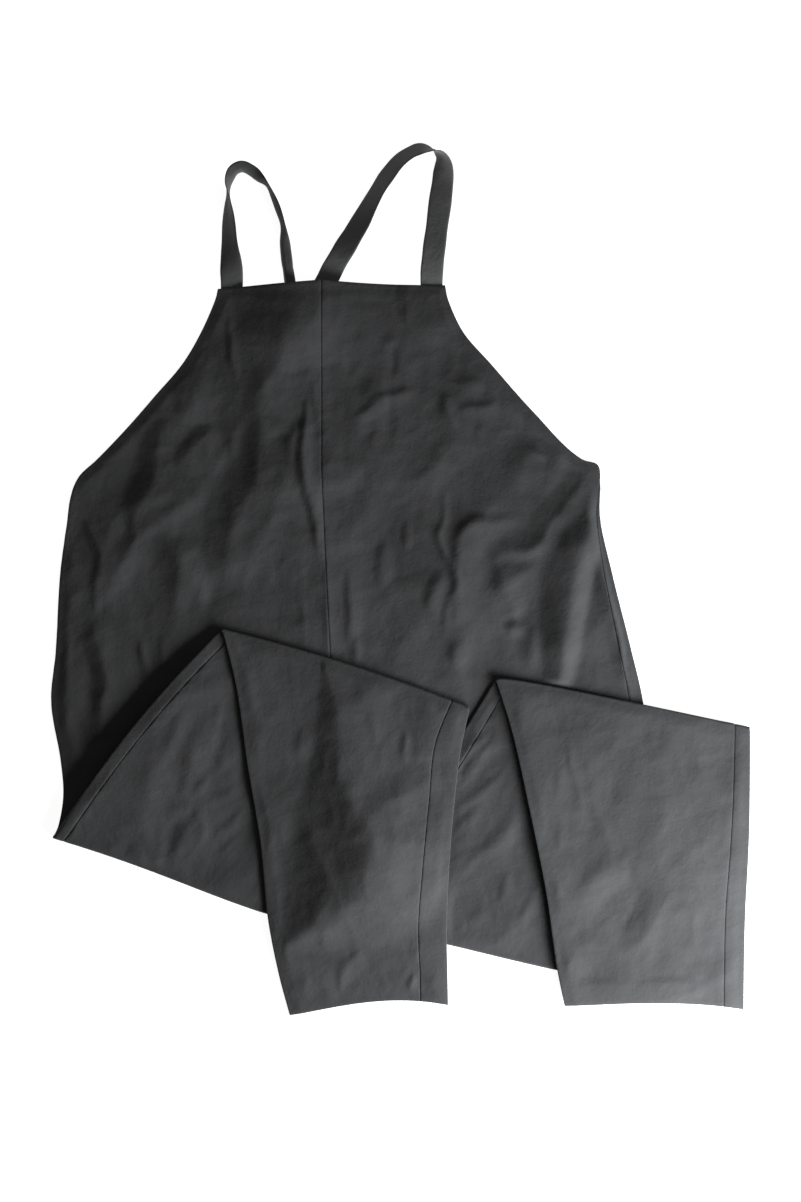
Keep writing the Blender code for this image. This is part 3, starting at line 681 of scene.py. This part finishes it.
def swell(x, y):
    """How far the upper wall of each tube stands up, and the lower one: body, middle, lower."""
    covers = [[MIDDLES_OUTLINE], LOWER_OUTLINES, []]
    closed = [[FRONT_OUTLINE], MID_OUTLINES, PAST_HEM_OUTLINES]
    edges = [[FRONT_OUTLINE], MID_OUTLINES, LOWER_OUTLINES]
    warped_x = x + WANDER * wander_x(x, y)
    warped_y = y + WANDER * wander_y(x, y)
    uneven = RUMPLE * facets(rumple, x, y, RUMPLE_BLUNT)
    uneven += CRUMPLE * facets(crumple, warped_x, warped_y, CRUMPLE_BLUNT)
    upper = []
    lower = []
    for tube in range(3):
        loft = LOFT[tube] * ramp(depth_in(x, y, closed[tube]) / LOFT_REACH)
        folds = sum(fold_height(warped_x, warped_y, fold) for fold in FOLDS if fold.tube == tube)
        folds += sum(pleat_height(x, y, pleat) for pleat in PLEATS if pleat.tube == tube)
        clear = ramp(-depth_in(x, y, covers[tube]) / PRESS_REACH)
        folds = (folds + uneven) * clear * ramp(depth_in(x, y, edges[tube]) / EDGE_REACH)
        deepest = (loft + DIP) * ramp(from_turned_edge(x, y, tube) / DIP_REACH)
        upper.append(loft + np.maximum(folds, -deepest))
        lower.append(FOLLOW * np.maximum(folds, 0.0))
    upper[0] += over_straps(x, y)
    return np.array(upper), np.array(lower)


# ---- seams ----
SEAM_DEPTH = 0.25  # of the groove along a seam
SEAM_WIDTH = 0.8
SEAM_TURN = 0.6  # how far the very edge of the cloth turns down into the seam
# The cloth by a seam is painted darker: painted shade for the seam's groove, together with the seam's own
# darker line.
SEAM_SHADE_WIDTH = 1.0  # width over which the cloth by a seam is darker
ALLOWANCE = 11.0  # width of the seam allowance that stands up under the cloth
ALLOWANCE_HEIGHT = 0.12
ALLOWANCE_SLOPE = 4.0  # width over which it comes up at its edge
ALLOWANCE_NOTCH = 1.6  # and over which it is pulled down at the seam
PUCKERS = [0.2, 0.55, 0.2]  # height of the puckers along the seams on each tube
PUCKER_WIDTH = 10.0
PUCKER_START = 3.0  # distance from the seam at which they are fully up
PUCKER_SLANT = 0.3  # how much they change with the distance from the seam
STITCH_DEPTH = 0.07  # of the line where a turned-under edge is caught down
STITCH_WIDTH = 1.2
STITCH_INSET = 1.0  # how far past the turned-under cloth it runs
pucker_wave = waves(31, 26, 8)


def seam_inset(past_seam, along, puckers, turn):
    """How far the wall is drawn in near a seam: a groove, puckers and the raised allowance.

    turn is how far the edge turns down at the seam, which past_seam is 0 at and negative
    under the other piece.
    """
    distance = np.abs(past_seam)
    groove = SEAM_DEPTH * hump(distance, SEAM_WIDTH)
    turned = turn * ramp((SEAM_STEPS[2] - past_seam) / (SEAM_STEPS[2] - SEAM_STEPS[1]))
    raised = ALLOWANCE_HEIGHT * ramp((ALLOWANCE - distance) / ALLOWANCE_SLOPE)
    raised *= 1 - hump(distance, ALLOWANCE_NOTCH)
    gathered = puckers * pucker_wave(along, PUCKER_SLANT * distance)
    gathered *= hump(distance, PUCKER_WIDTH) * ramp(distance / PUCKER_START)
    return groove + turned - raised + gathered


def edge_inset(distance):
    """The faint line where the turned-under edge is caught down."""
    return STITCH_DEPTH * hump(distance - FACING - STITCH_INSET, STITCH_WIDTH)


# ---- panels ----
# half is the half of the garment; the outer edge of the left half is its left edge.
Panel = namedtuple("Panel", "name side half stretches spacing")
FRONT, BACK = 1.0, -1.0
FRONT_UP = [1.0, -1.0, 1.0]  # 1 where a tube's front faces up and -1 where its back does

LEFT_LEG = (LEFT_MID, LEFT_LOWER)
RIGHT_LEG = (RIGHT_MID, RIGHT_LOWER)
FRONT_SPACING = (SHOWN_ROWS, HIDDEN_ROWS, SHOWN_ROWS)
BACK_SPACING = (HIDDEN_ROWS, SHOWN_ROWS, BAND_ROWS)
PANELS = [
    Panel("front_left", FRONT, "left", (LEFT_BIB + LEFT_BODY, *LEFT_LEG), FRONT_SPACING),
    Panel("front_right", FRONT, "right", (RIGHT_BIB + RIGHT_BODY, *RIGHT_LEG), FRONT_SPACING),
    Panel("back_left", BACK, "left", (LEFT_BACK_TOP + LEFT_BODY, *LEFT_LEG), BACK_SPACING),
    Panel("back_right", BACK, "right", (RIGHT_BACK_TOP + RIGHT_BODY, *RIGHT_LEG), BACK_SPACING),
]

# One row of a panel's grid.  turn is None on the flat and 0 to 1 round a fold of the leg;
# outward and inset place the rows that are turned under at the neck and the hem.
Station = namedtuple("Station", "row tube turn outward inset along")


def edge_distance(table, row):
    """How near each row of a table comes to one row, at whichever edge is nearer."""
    steps = table[:, :4] - row[:4]
    return np.minimum(np.hypot(steps[:, 0], steps[:, 1]), np.hypot(steps[:, 2], steps[:, 3]))


def turned_under(row, tube, depth, sign, along):
    """The stations of an edge that is turned under, from the edge inwards."""
    stations = []
    for angle in np.linspace(0, math.pi, LIP_STEPS + 1)[1:]:
        outward = LIP * math.sin(angle)
        inset = LIP * (1 - math.cos(angle))
        stations.append(Station(row, tube, None, sign * outward, inset, along))
    for inward in np.linspace(0, depth, math.ceil(depth / FACING_ROWS) + 1)[1:]:
        inset = 2 * LIP + FACING_DROP * inward / depth
        stations.append(Station(row, tube, None, -sign * inward, inset, along))
    return stations


def stations(panel):
    """All the rows of a panel's grid, from the turned-under top edge to the turned-under hem."""
    result = []
    along = 0.0
    for tube, (rows, spacing) in enumerate(zip(panel.stretches, panel.spacing)):
        table = keep_to_centre_seam(smooth_rows(rows, spacing, edges=2))
        middles = (table[:, 0:2] + table[:, 2:4]) / 2
        places = along + walked(np.hypot(*np.diff(middles, axis=0).T))
        along = places[-1]
        if tube == 0:
            result += turned_under(table[0], 0, FACING, -1.0, 0.0)[::-1]
        clear = np.ones(len(table), bool)
        if tube > 0:
            clear &= edge_distance(table, table[0]) > BEND[tube - 1] + FOLD_CLEAR
        if tube < 2:
            clear &= edge_distance(table, table[-1]) > BEND[tube] + FOLD_CLEAR
        for row, place in zip(table[clear], places[clear]):
            result.append(Station(row, tube, None, 0.0, 0.0, place))
        if tube < 2:
            for step in range(TURN_STEPS + 1):
                turn = step / TURN_STEPS
                place = along + turn * math.pi * BEND[tube]
                result.append(Station(table[-1], tube, turn, 0.0, 0.0, place))
            along += math.pi * BEND[tube]
        else:
            result += turned_under(table[-1], 2, HEM, 1.0, along)
    return result


def column_stops(start, finish, total, radius_left, radius_right, tuck):
    """Distances round the tube of a row's columns, closer at seams and round side edges."""
    seam = np.array(SEAM_STEPS)
    arc = np.linspace(-1, 1, EDGE_COLUMNS + 1)
    tucked = start - tuck * np.array(TUCK_STEPS)
    first = start + seam[-1]
    last = finish - seam[-1]
    left_arc = np.maximum(math.pi * radius_left / 2 * arc, first)
    right_arc = np.minimum(total + math.pi * radius_right / 2 * arc, last)
    stops = np.concatenate([
        tucked,
        start + seam,
        np.linspace(first, left_arc[0], LEAD_COLUMNS + 1)[1:-1],
        left_arc,
        np.linspace(left_arc[-1], right_arc[0], INNER_COLUMNS + 2)[1:-1],
        right_arc,
        np.linspace(right_arc[-1], last, LEAD_COLUMNS + 1)[1:-1],
        finish - seam[::-1],
    ])
    crowding = CROWD * np.arange(stops.size)
    spread = np.maximum.accumulate(np.clip(stops, start - tuck, finish) - crowding)
    return np.minimum(spread, finish - crowding[-1]) + crowding


def round_edge(distance, radius, inset):
    """Going round a side edge, from its outermost line: across, off the middle and the share
    of the way round."""
    quarter = math.pi * radius / 2
    angle = math.pi / 2 * np.minimum((distance + TINY) / np.maximum(quarter, TINY), 1.0)
    across = radius - (radius - inset) * np.cos(angle) + np.maximum(distance - quarter, 0.0)
    return across, (radius - inset) * np.sin(angle), np.sin(angle)


# How a panel's row meets one side edge: shut is how closed the tube is there, raw how far the
# cloth ends there unsewn, radius what it turns round, and border how far inside the edge's
# outermost line it stops.
Side = namedtuple("Side", "shut raw radius border")


def side_of(station, panel, half):
    column = ("left", "right").index(half)
    seam = station.row[4 + column]
    shut = min(max(station.row[6 + column], 0.0), 1.0)
    raw = 1 - shut if panel.half == half else 0.0
    border = panel.side * seam * (1 - raw) - FACING * raw + GAP / 2
    return Side(shut, raw, EDGE * shut + LIP * raw, border)


def in_stack(station, towards_front):
    """Where a row lies in the folded stack: how far past its own line, how high, and its
    share in each tube's stretch."""
    tube = station.tube
    up = FRONT_UP[tube]
    shares = np.zeros((3, towards_front.size))
    if station.turn is None:
        shares[tube] = 1.0
        return 0.0, TUBE_HEIGHT[tube] + up * towards_front, shares
    # Round a fold the tube turns about an axis halfway up to the next one: the front is on
    # the inside of the bottom fold and on the outside of the top one.
    angle = math.pi * station.turn
    radius = RISE[tube] / 2 - up * towards_front
    height = TUBE_HEIGHT[tube] + RISE[tube] / 2 - radius * math.cos(angle)
    shares[tube] = (1 + math.cos(angle)) / 2
    shares[tube + 1] = (1 - math.cos(angle)) / 2
    return up * (radius * math.sin(angle) - BEND[tube]), height, shares


def lay_row(station, panel):
    """One row of a panel, across its tube: x, y, height, how far on top, how near a seam,
    how far round the tube, and its share in each tube's stretch."""
    row, tube = station.row, station.tube
    left, right = side_of(station, panel, "left"), side_of(station, panel, "right")
    chord = row[2:4] - row[0:2]
    width = math.hypot(*chord)
    total = width + (math.pi / 2 - 1) * (left.radius + right.radius)
    start, finish = left.border, total - right.border
    tuck = TUCK * (1 - left.shut) if panel.half == "right" else 0.0
    stops = column_stops(start, finish, total, left.radius, right.radius, tuck)
    past_left_seam = stops - start
    stops = np.maximum(stops, start)

    seam_turn = SEAM_TURN * max(0.0, 1 - station.inset / LIP)
    turn_left = seam_turn * left.shut
    if panel.half == "right":
        turn_left += TUCK_DEPTH * (1 - left.shut)
    left_inset = seam_inset(past_left_seam, station.along, PUCKERS[tube], turn_left)
    right_inset = seam_inset(finish - stops, station.along, PUCKERS[tube], seam_turn * right.shut)
    inset = station.inset + (1 - left.raw) * left_inset
    inset += (1 - right.raw) * right_inset
    if tube == 0 and panel.side == FRONT:
        inset += left.raw * edge_inset(stops) + right.raw * edge_inset(total - stops)
        inset += edge_inset(station.along)

    nearer_left = np.abs(stops) <= np.abs(total - stops)
    distance = np.abs(np.where(nearer_left, stops, total - stops))
    radius = np.where(nearer_left, left.radius, right.radius)
    shut = np.where(nearer_left, left.shut, right.shut)
    across, risen, round_share = round_edge(distance, radius, inset)
    across = np.where(nearer_left, across, width - across) + np.minimum(past_left_seam, 0.0)
    wrapped = (stops < 0) | (stops > total)
    folded_back = -np.where(shut < 1, np.abs(risen), risen)
    off = EDGE - radius + np.where(wrapped, folded_back, risen)
    outer = 1 - shut * (1 - np.where(wrapped, -round_share, round_share))

    past_line, height, shares = in_stack(station, panel.side * off)
    below = np.array([chord[1], -chord[0]]) / width
    depth = bow_depth(np.clip(across / width, 0.0, 1.0), *row[8:10])
    place = row[0:2] + np.outer(across / width, chord)
    place += np.outer(depth + station.outward, below)
    place += np.outer(past_line, below)
    on_top = np.zeros(stops.size)
    if station.turn is None:
        on_top = np.clip(0.5 + 0.5 * FRONT_UP[tube] * panel.side * outer, 0.0, 1.0)
    # How near a seam each point is, for the painted shade by the seams.
    seam = (1 - left.raw) * hump(stops - start, SEAM_SHADE_WIDTH)
    seam += (1 - right.raw) * hump(finish - stops, SEAM_SHADE_WIDTH)
    return place[:, 0], place[:, 1], height, on_top, seam, stops, shares


def lay_panel(panel):
    """The panel's grid in millimetres, with what its finish needs at each point."""
    rows = stations(panel)
    laid = [lay_row(station, panel) for station in rows]
    x, y, height, on_top, seam, across, share_in_tube = map(np.array, zip(*laid))
    share_in_tube = share_in_tube.transpose(1, 0, 2)
    along = np.array([station.along for station in rows])
    upper, lower = swell(x, y)
    height += (share_in_tube * (on_top * upper + (1 - on_top) * lower)).sum(axis=0)
    height += (share_in_tube * (lifted_edges(x, y) - sink(x, y))).sum(axis=0)
    height = np.maximum(height, CLOTH / 2 + CLEAR)
    points = np.stack([x, y, height], axis=-1)
    lay = np.stack([across, np.broadcast_to(along[:, None], across.shape), 0 * across], axis=-1)
    # The cloth is made lighter round the folds of the leg, most at the outside of each fold.
    turned = np.array([math.sin(math.pi * (station.turn or 0.0)) for station in rows])
    fold_edge = np.broadcast_to(turned[:, None], across.shape)
    return points, lay, seam, fold_edge


# ---- meshes ----
def grid_faces(rows, columns, closed=False):
    """Corner numbers of the faces of a grid; closed joins its last column to its first."""
    numbers = np.arange(rows * columns).reshape(rows, columns)
    if closed:
        numbers = np.hstack([numbers, numbers[:, :1]])
    corners = [numbers[1:, :-1], numbers[1:, 1:], numbers[:-1, 1:], numbers[:-1, :-1]]
    return np.stack(corners, axis=-1).reshape(-1, 4).tolist()


def add_object(name, data):
    added = bpy.data.objects.new(name, data)
    bpy.context.scene.collection.objects.link(added)
    return added


def add_mesh(name, points, faces, finish):
    mesh = bpy.data.meshes.new(name)
    mesh.from_pydata((points.reshape(-1, 3) * MM).tolist(), [], faces)
    mesh.shade_smooth()
    mesh.materials.append(finish)
    return add_object(name, mesh)


def add_for_finish(piece, lay, seam, fold_edge):
    """Keeps, for each point, its place on the cloth, how near a seam it is, for the painted shade there,
    and how far round a fold of the leg it is.
    """
    for name, kind, field, values in (
        ("lay", "FLOAT_VECTOR", "vector", lay),
        ("seam", "FLOAT", "value", seam),
        ("fold_edge", "FLOAT", "value", fold_edge),
    ):
        attribute = piece.data.attributes.new(name, kind, "POINT")
        attribute.data.foreach_set(field, np.ascontiguousarray(values, np.float32).ravel())


def panel_piece(panel, finish):
    points, lay, seam, fold_edge = lay_panel(panel)
    rows, columns = points.shape[:2]
    piece = add_mesh(f"{panel.name}_cloth", points, grid_faces(rows, columns), finish)
    add_for_finish(piece, lay, seam, fold_edge)
    wall = piece.modifiers.new("wall", "SOLIDIFY")
    wall.thickness = CLOTH * MM
    wall.offset = 0.0  # the grid is the middle of the cloth
    return piece


# ---- straps ----
STRAP_ROUNDING = 1.2  # width over which a strap thins towards its edges
STRAP_THINNEST = 0.12  # and its thickness at the very edge, as a share of the full one
CURL_WIDTH = 4.2  # width of the bend where a strap is folded lengthways
EDGES_APART = 200  # how far apart its two edges read the unevenness
strap_wave = waves(51, 70, 18, 8)


def strap_rings(rows):
    """Rings round a strap, a doubled strip with soft rounded and slightly uneven edges."""
    table = smooth_rows(rows, STRAP_SPACING, edges=1)
    table[:, 2] = np.clip(table[:, 2], 0.0, 180.0)  # tilt
    table[:, 3] = np.maximum(table[:, 3], 0.0)  # curl
    heading = np.gradient(table[:, :2], axis=0)
    heading /= np.hypot(heading[:, 0], heading[:, 1])[:, None]
    half = STRAP_WIDTH / 2
    side = np.sin(np.linspace(-0.5, 0.5, STRAP_COLUMNS + 1) * math.pi) * half
    thinned = np.maximum(np.abs(side) - half + STRAP_ROUNDING, 0) / STRAP_ROUNDING
    plump = np.sqrt(np.clip(1 - thinned ** 2, 0.0, 1.0))
    thick = STRAP_WALL / 2 * np.maximum(plump, STRAP_THINNEST)
    rings = []
    for (x, y, tilt, curl, crease, lift), (along_x, along_y) in zip(table, heading):
        uneven = STRAP_UNEVEN * strap_wave(x + np.sign(side) * EDGES_APART, y) * np.abs(side) / half
        bend = np.radians(tilt + curl * (ramp((side - crease) / CURL_WIDTH + 0.5) - 0.5))
        runs = np.diff(side + uneven)
        middle = (bend[1:] + bend[:-1]) / 2
        sideways = walked(runs * np.cos(middle))
        upward = walked(runs * np.sin(middle))
        sideways -= (sideways.max() + sideways.min()) / 2
        out_side = -np.sin(bend) * thick
        out_up = np.cos(bend) * thick
        ring_side = np.concatenate([sideways + out_side, (sideways - out_side)[::-1]])
        ring_up = np.concatenate([upward + out_up, (upward - out_up)[::-1]])
        ring_up += STRAP_REST + lift - ring_up.min()
        rings.append(np.column_stack([x + ring_side * along_y, y - ring_side * along_x, ring_up]))
    return np.array(rings), side


def strap_piece(name, rows, finish):
    points, side = strap_rings(rows)
    count, columns = points.shape[:2]
    faces = grid_faces(count, columns, closed=True)
    faces.append(list(range(columns)))
    faces.append(list(range(count * columns - 1, (count - 1) * columns - 1, -1)))
    piece = add_mesh(name, points, faces, finish)
    along = walked(np.linalg.norm(np.diff(points.mean(axis=1), axis=0), axis=1))
    across = np.concatenate([side, side[::-1] + 2 * STRAP_WIDTH])
    lay = np.stack(np.broadcast_arrays(across[None, :], along[:, None], 0.0), axis=-1)
    none = np.zeros(points.shape[:2])
    add_for_finish(piece, lay, none, none)
    return piece


# ---- finishes ----
class Value:
    """A number in a material: arithmetic on it adds Math nodes."""

    def __init__(self, finish, socket):
        self.finish = finish
        self.socket = socket

    def math(self, operation, *values):
        return self.finish.node("ShaderNodeMath", {"operation": operation}, values)

    def __add__(self, other):
        return self.math("ADD", self, other)

    def __sub__(self, other):
        return self.math("SUBTRACT", self, other)

    def __mul__(self, other):
        return self.math("MULTIPLY", self, other)

    def sine(self):
        return self.math("SINE", self)

    def size(self):
        return self.math("ABSOLUTE", self)


class Finish:
    """A material and the one way nodes are added to it."""

    def __init__(self, name):
        self.material = bpy.data.materials.new(name)
        self.material.use_nodes = True
        self.nodes = self.material.node_tree.nodes
        self.links = self.material.node_tree.links
        self.shader = self.nodes["Principled BSDF"]

    def put(self, socket, value):
        """Gives a socket a number, a colour or a link."""
        if isinstance(value, Value):
            self.links.new(value.socket, socket)
        else:
            socket.default_value = value

    def node(self, kind, settings=None, values=(), output=0):
        """Adds a node; values go to its sockets by order or by name."""
        node = self.nodes.new(kind)
        for name, setting in (settings or {}).items():
            setattr(node, name, setting)
        pairs = values.items() if isinstance(values, dict) else enumerate(values)
        for key, value in pairs:
            self.put(node.inputs[key], value)
        return Value(self, node.outputs[output])

    def set(self, **values):
        """Sets the shader's sockets, with spaces in their names written as underscores."""
        for name, value in values.items():
            self.put(self.shader.inputs[name.replace("_", " ")], value)

    def attribute(self, name, output="Fac"):
        return self.node("ShaderNodeAttribute", {"attribute_name": name}, output=output)

    def noise(self, place, scale, detail, roughness):
        """Even noise about 0."""
        values = {"Vector": place, "Scale": scale, "Detail": detail, "Roughness": roughness}
        return self.node("ShaderNodeTexNoise", None, values) - 0.5

    def mix(self, share, first, second):
        settings = {"data_type": "RGBA", "clamp_factor": True}
        return self.node("ShaderNodeMix", settings, {0: share, 6: first, 7: second}, output=2)


TWILL_PITCH = 1.1  # distance between the twill's diagonal lines, along a thread
THREADS = 1.7  # lines of the crossing threads to one of those
BUMP_DEPTH = 1.0  # what the heights below are shares of
WEAVE_HEIGHT = 0.012
NAP_HEIGHT = 0.04
DENT_HEIGHT = 0.45
CREASE_DEPTH = 1.5


def charcoal_twill(name, dark, light, lightness):
    """Matt brushed cotton twill: diagonal weave, nap, a little fading and a soft sheen."""
    cloth = Finish(name)
    lay = cloth.attribute("lay", "Vector")
    place = cloth.node("ShaderNodeTexCoord", output="Object")
    across = cloth.node("ShaderNodeSeparateXYZ", None, [lay])
    along = Value(cloth, across.socket.node.outputs[1])
    turn = 2 * math.pi / TWILL_PITCH
    diagonal = ((across + along) * turn).sine()
    threads = ((across - along) * turn * THREADS).sine()
    weave = diagonal * 0.7 + threads * 0.3
    # Scales are per millimetre of the cloth for the nap and per metre for what comes after it.
    nap = cloth.noise(lay, 0.9, detail=4.0, roughness=0.7)
    dents = cloth.noise(place, 40.0, detail=3.0, roughness=0.6)
    creases = cloth.noise(place, 27.0, detail=4.0, roughness=0.62).size()
    blotch = cloth.noise(place, 11.0, detail=4.0, roughness=0.55)
    cloudy = cloth.noise(place, 34.0, detail=5.0, roughness=0.6)
    # Darker by the seams: painted shade for the seam's groove, with the seam's own darker line.
    seam = cloth.attribute("seam")
    # Lighter round the folds of the leg.
    fold_edge = cloth.attribute("fold_edge")

    # Shares of the way from the dark colour to the light one.
    fading = blotch * 0.9 + cloudy * 0.5 + nap * 0.35 + weave * 0.06
    # lightness also paints the straps lighter or darker: painted light and painted shade, set per strap
    # in build_garment.
    share = fading + lightness + fold_edge * 0.25 - seam * 0.5
    color = cloth.mix(share, (*dark, 1.0), (*light, 1.0))
    roughness = nap * 0.18 + 0.82
    height = weave * WEAVE_HEIGHT + nap * NAP_HEIGHT + dents * DENT_HEIGHT - creases * CREASE_DEPTH
    uneven = {"Strength": 1.0, "Distance": BUMP_DEPTH * MM, "Height": height}
    bump = cloth.node("ShaderNodeBump", None, uneven)
    cloth.set(Base_Color=color, Roughness=roughness, Normal=bump)
    cloth.set(Sheen_Weight=0.12, Sheen_Roughness=0.45, Sheen_Tint=(0.75, 0.77, 0.82, 1.0))
    cloth.set(Specular_IOR_Level=0.25)
    return cloth.material


def plain_floor():
    floor = Finish("pale_floor")
    floor.set(Base_Color=(0.6, 0.6, 0.6, 1.0), Roughness=0.9)
    floor.set(Emission_Color=(1.0, 1.0, 1.0, 1.0), Emission_Strength=0.92)
    return floor.material


# ---- build ----
PANEL_DARK = (0.0285, 0.0285, 0.0295)
PANEL_LIGHT = (0.054, 0.054, 0.055)
# The straps are the same cloth as the panels, painted about twice as light: painted light standing in for
# how the lamps light the straps.
STRAP_DARK_PAINTED_LIGHTER = (0.066, 0.066, 0.066)
STRAP_LIGHT_PAINTED_LIGHTER = (0.104, 0.104, 0.104)

# The cut of each piece: its flat width and length and its flat area, in metres.
Cut = namedtuple("Cut", "width length area held rests_on")


def belongs(piece, node):
    """Puts a piece on the root body and hides the solid of the model that it stands for."""
    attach(piece, "root")
    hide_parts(node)


def build_garment():
    panel_finish = charcoal_twill("charcoal_cloth", PANEL_DARK, PANEL_LIGHT, lightness=0.5)
    for panel in PANELS:
        belongs(panel_piece(panel, panel_finish), panel.name)
    # Painted light on the straps: the left one is painted darker and the right one lighter, standing in
    # for how the light falls on their loops.
    for name, rows, lightness in (("strap_left", LEFT_STRAP, 0.3), ("strap_right", RIGHT_STRAP, 1.0)):
        finish = charcoal_twill(f"{name}_cloth", STRAP_DARK_PAINTED_LIGHTER, STRAP_LIGHT_PAINTED_LIGHTER, lightness)
        belongs(strap_piece(f"{name}_cloth", rows, finish), name)


FLOOR_SIZE = 8.0  # metres
CAMERA_HEIGHT = 3.4
CAMERA_LOOKS_AT_Y = -0.0243
FRAME_HEIGHT = 1.298  # metres of floor from the top to the bottom of the picture
SENSOR = 36.0


def build_floor():
    bpy.ops.mesh.primitive_plane_add(size=FLOOR_SIZE)
    floor = bpy.context.object
    floor.name = "floor"
    floor.data.materials.append(plain_floor())


def build_camera():
    lens = bpy.data.cameras.new("camera")
    lens.sensor_width = SENSOR
    lens.lens = SENSOR * CAMERA_HEIGHT / FRAME_HEIGHT
    lens.clip_end = 20.0
    camera = add_object("camera", lens)
    camera.location = (0.0, CAMERA_LOOKS_AT_Y, CAMERA_HEIGHT)
    bpy.context.scene.camera = camera


DAYLIGHT = (0.96, 0.98, 1.0)


def add_area_light(name, place, aim, size, power):
    light = bpy.data.lights.new(name, "AREA")
    light.shape = "RECTANGLE"
    light.size, light.size_y = size
    light.energy = power
    light.color = DAYLIGHT
    lamp = add_object(name, light)
    lamp.location = place
    east, north, up = np.subtract(aim, place)
    tilt = math.atan2(math.hypot(east, north), -up)
    lamp.rotation_euler = (tilt, 0.0, math.atan2(-east, north))


def build_lights():
    add_area_light("window", (0.79, -0.72, 0.31), (0.0, -0.05, 0.0), size=(0.9, 0.45), power=39.5)
    add_area_light("ceiling", (0.1, 1.0, 0.9), (-0.05, 0.4, 0.0), size=(0.6, 0.6), power=1.1)
    world = bpy.data.worlds.new("studio")
    world.use_nodes = True
    backdrop = world.node_tree.nodes["Background"]
    backdrop.inputs["Color"].default_value = (1.0, 0.955, 0.90, 1.0)
    backdrop.inputs["Strength"].default_value = 0.08
    bpy.context.scene.world = world
    bpy.context.scene.view_settings.view_transform = "Standard"


build_floor()
build_garment()
build_camera()
build_lights()
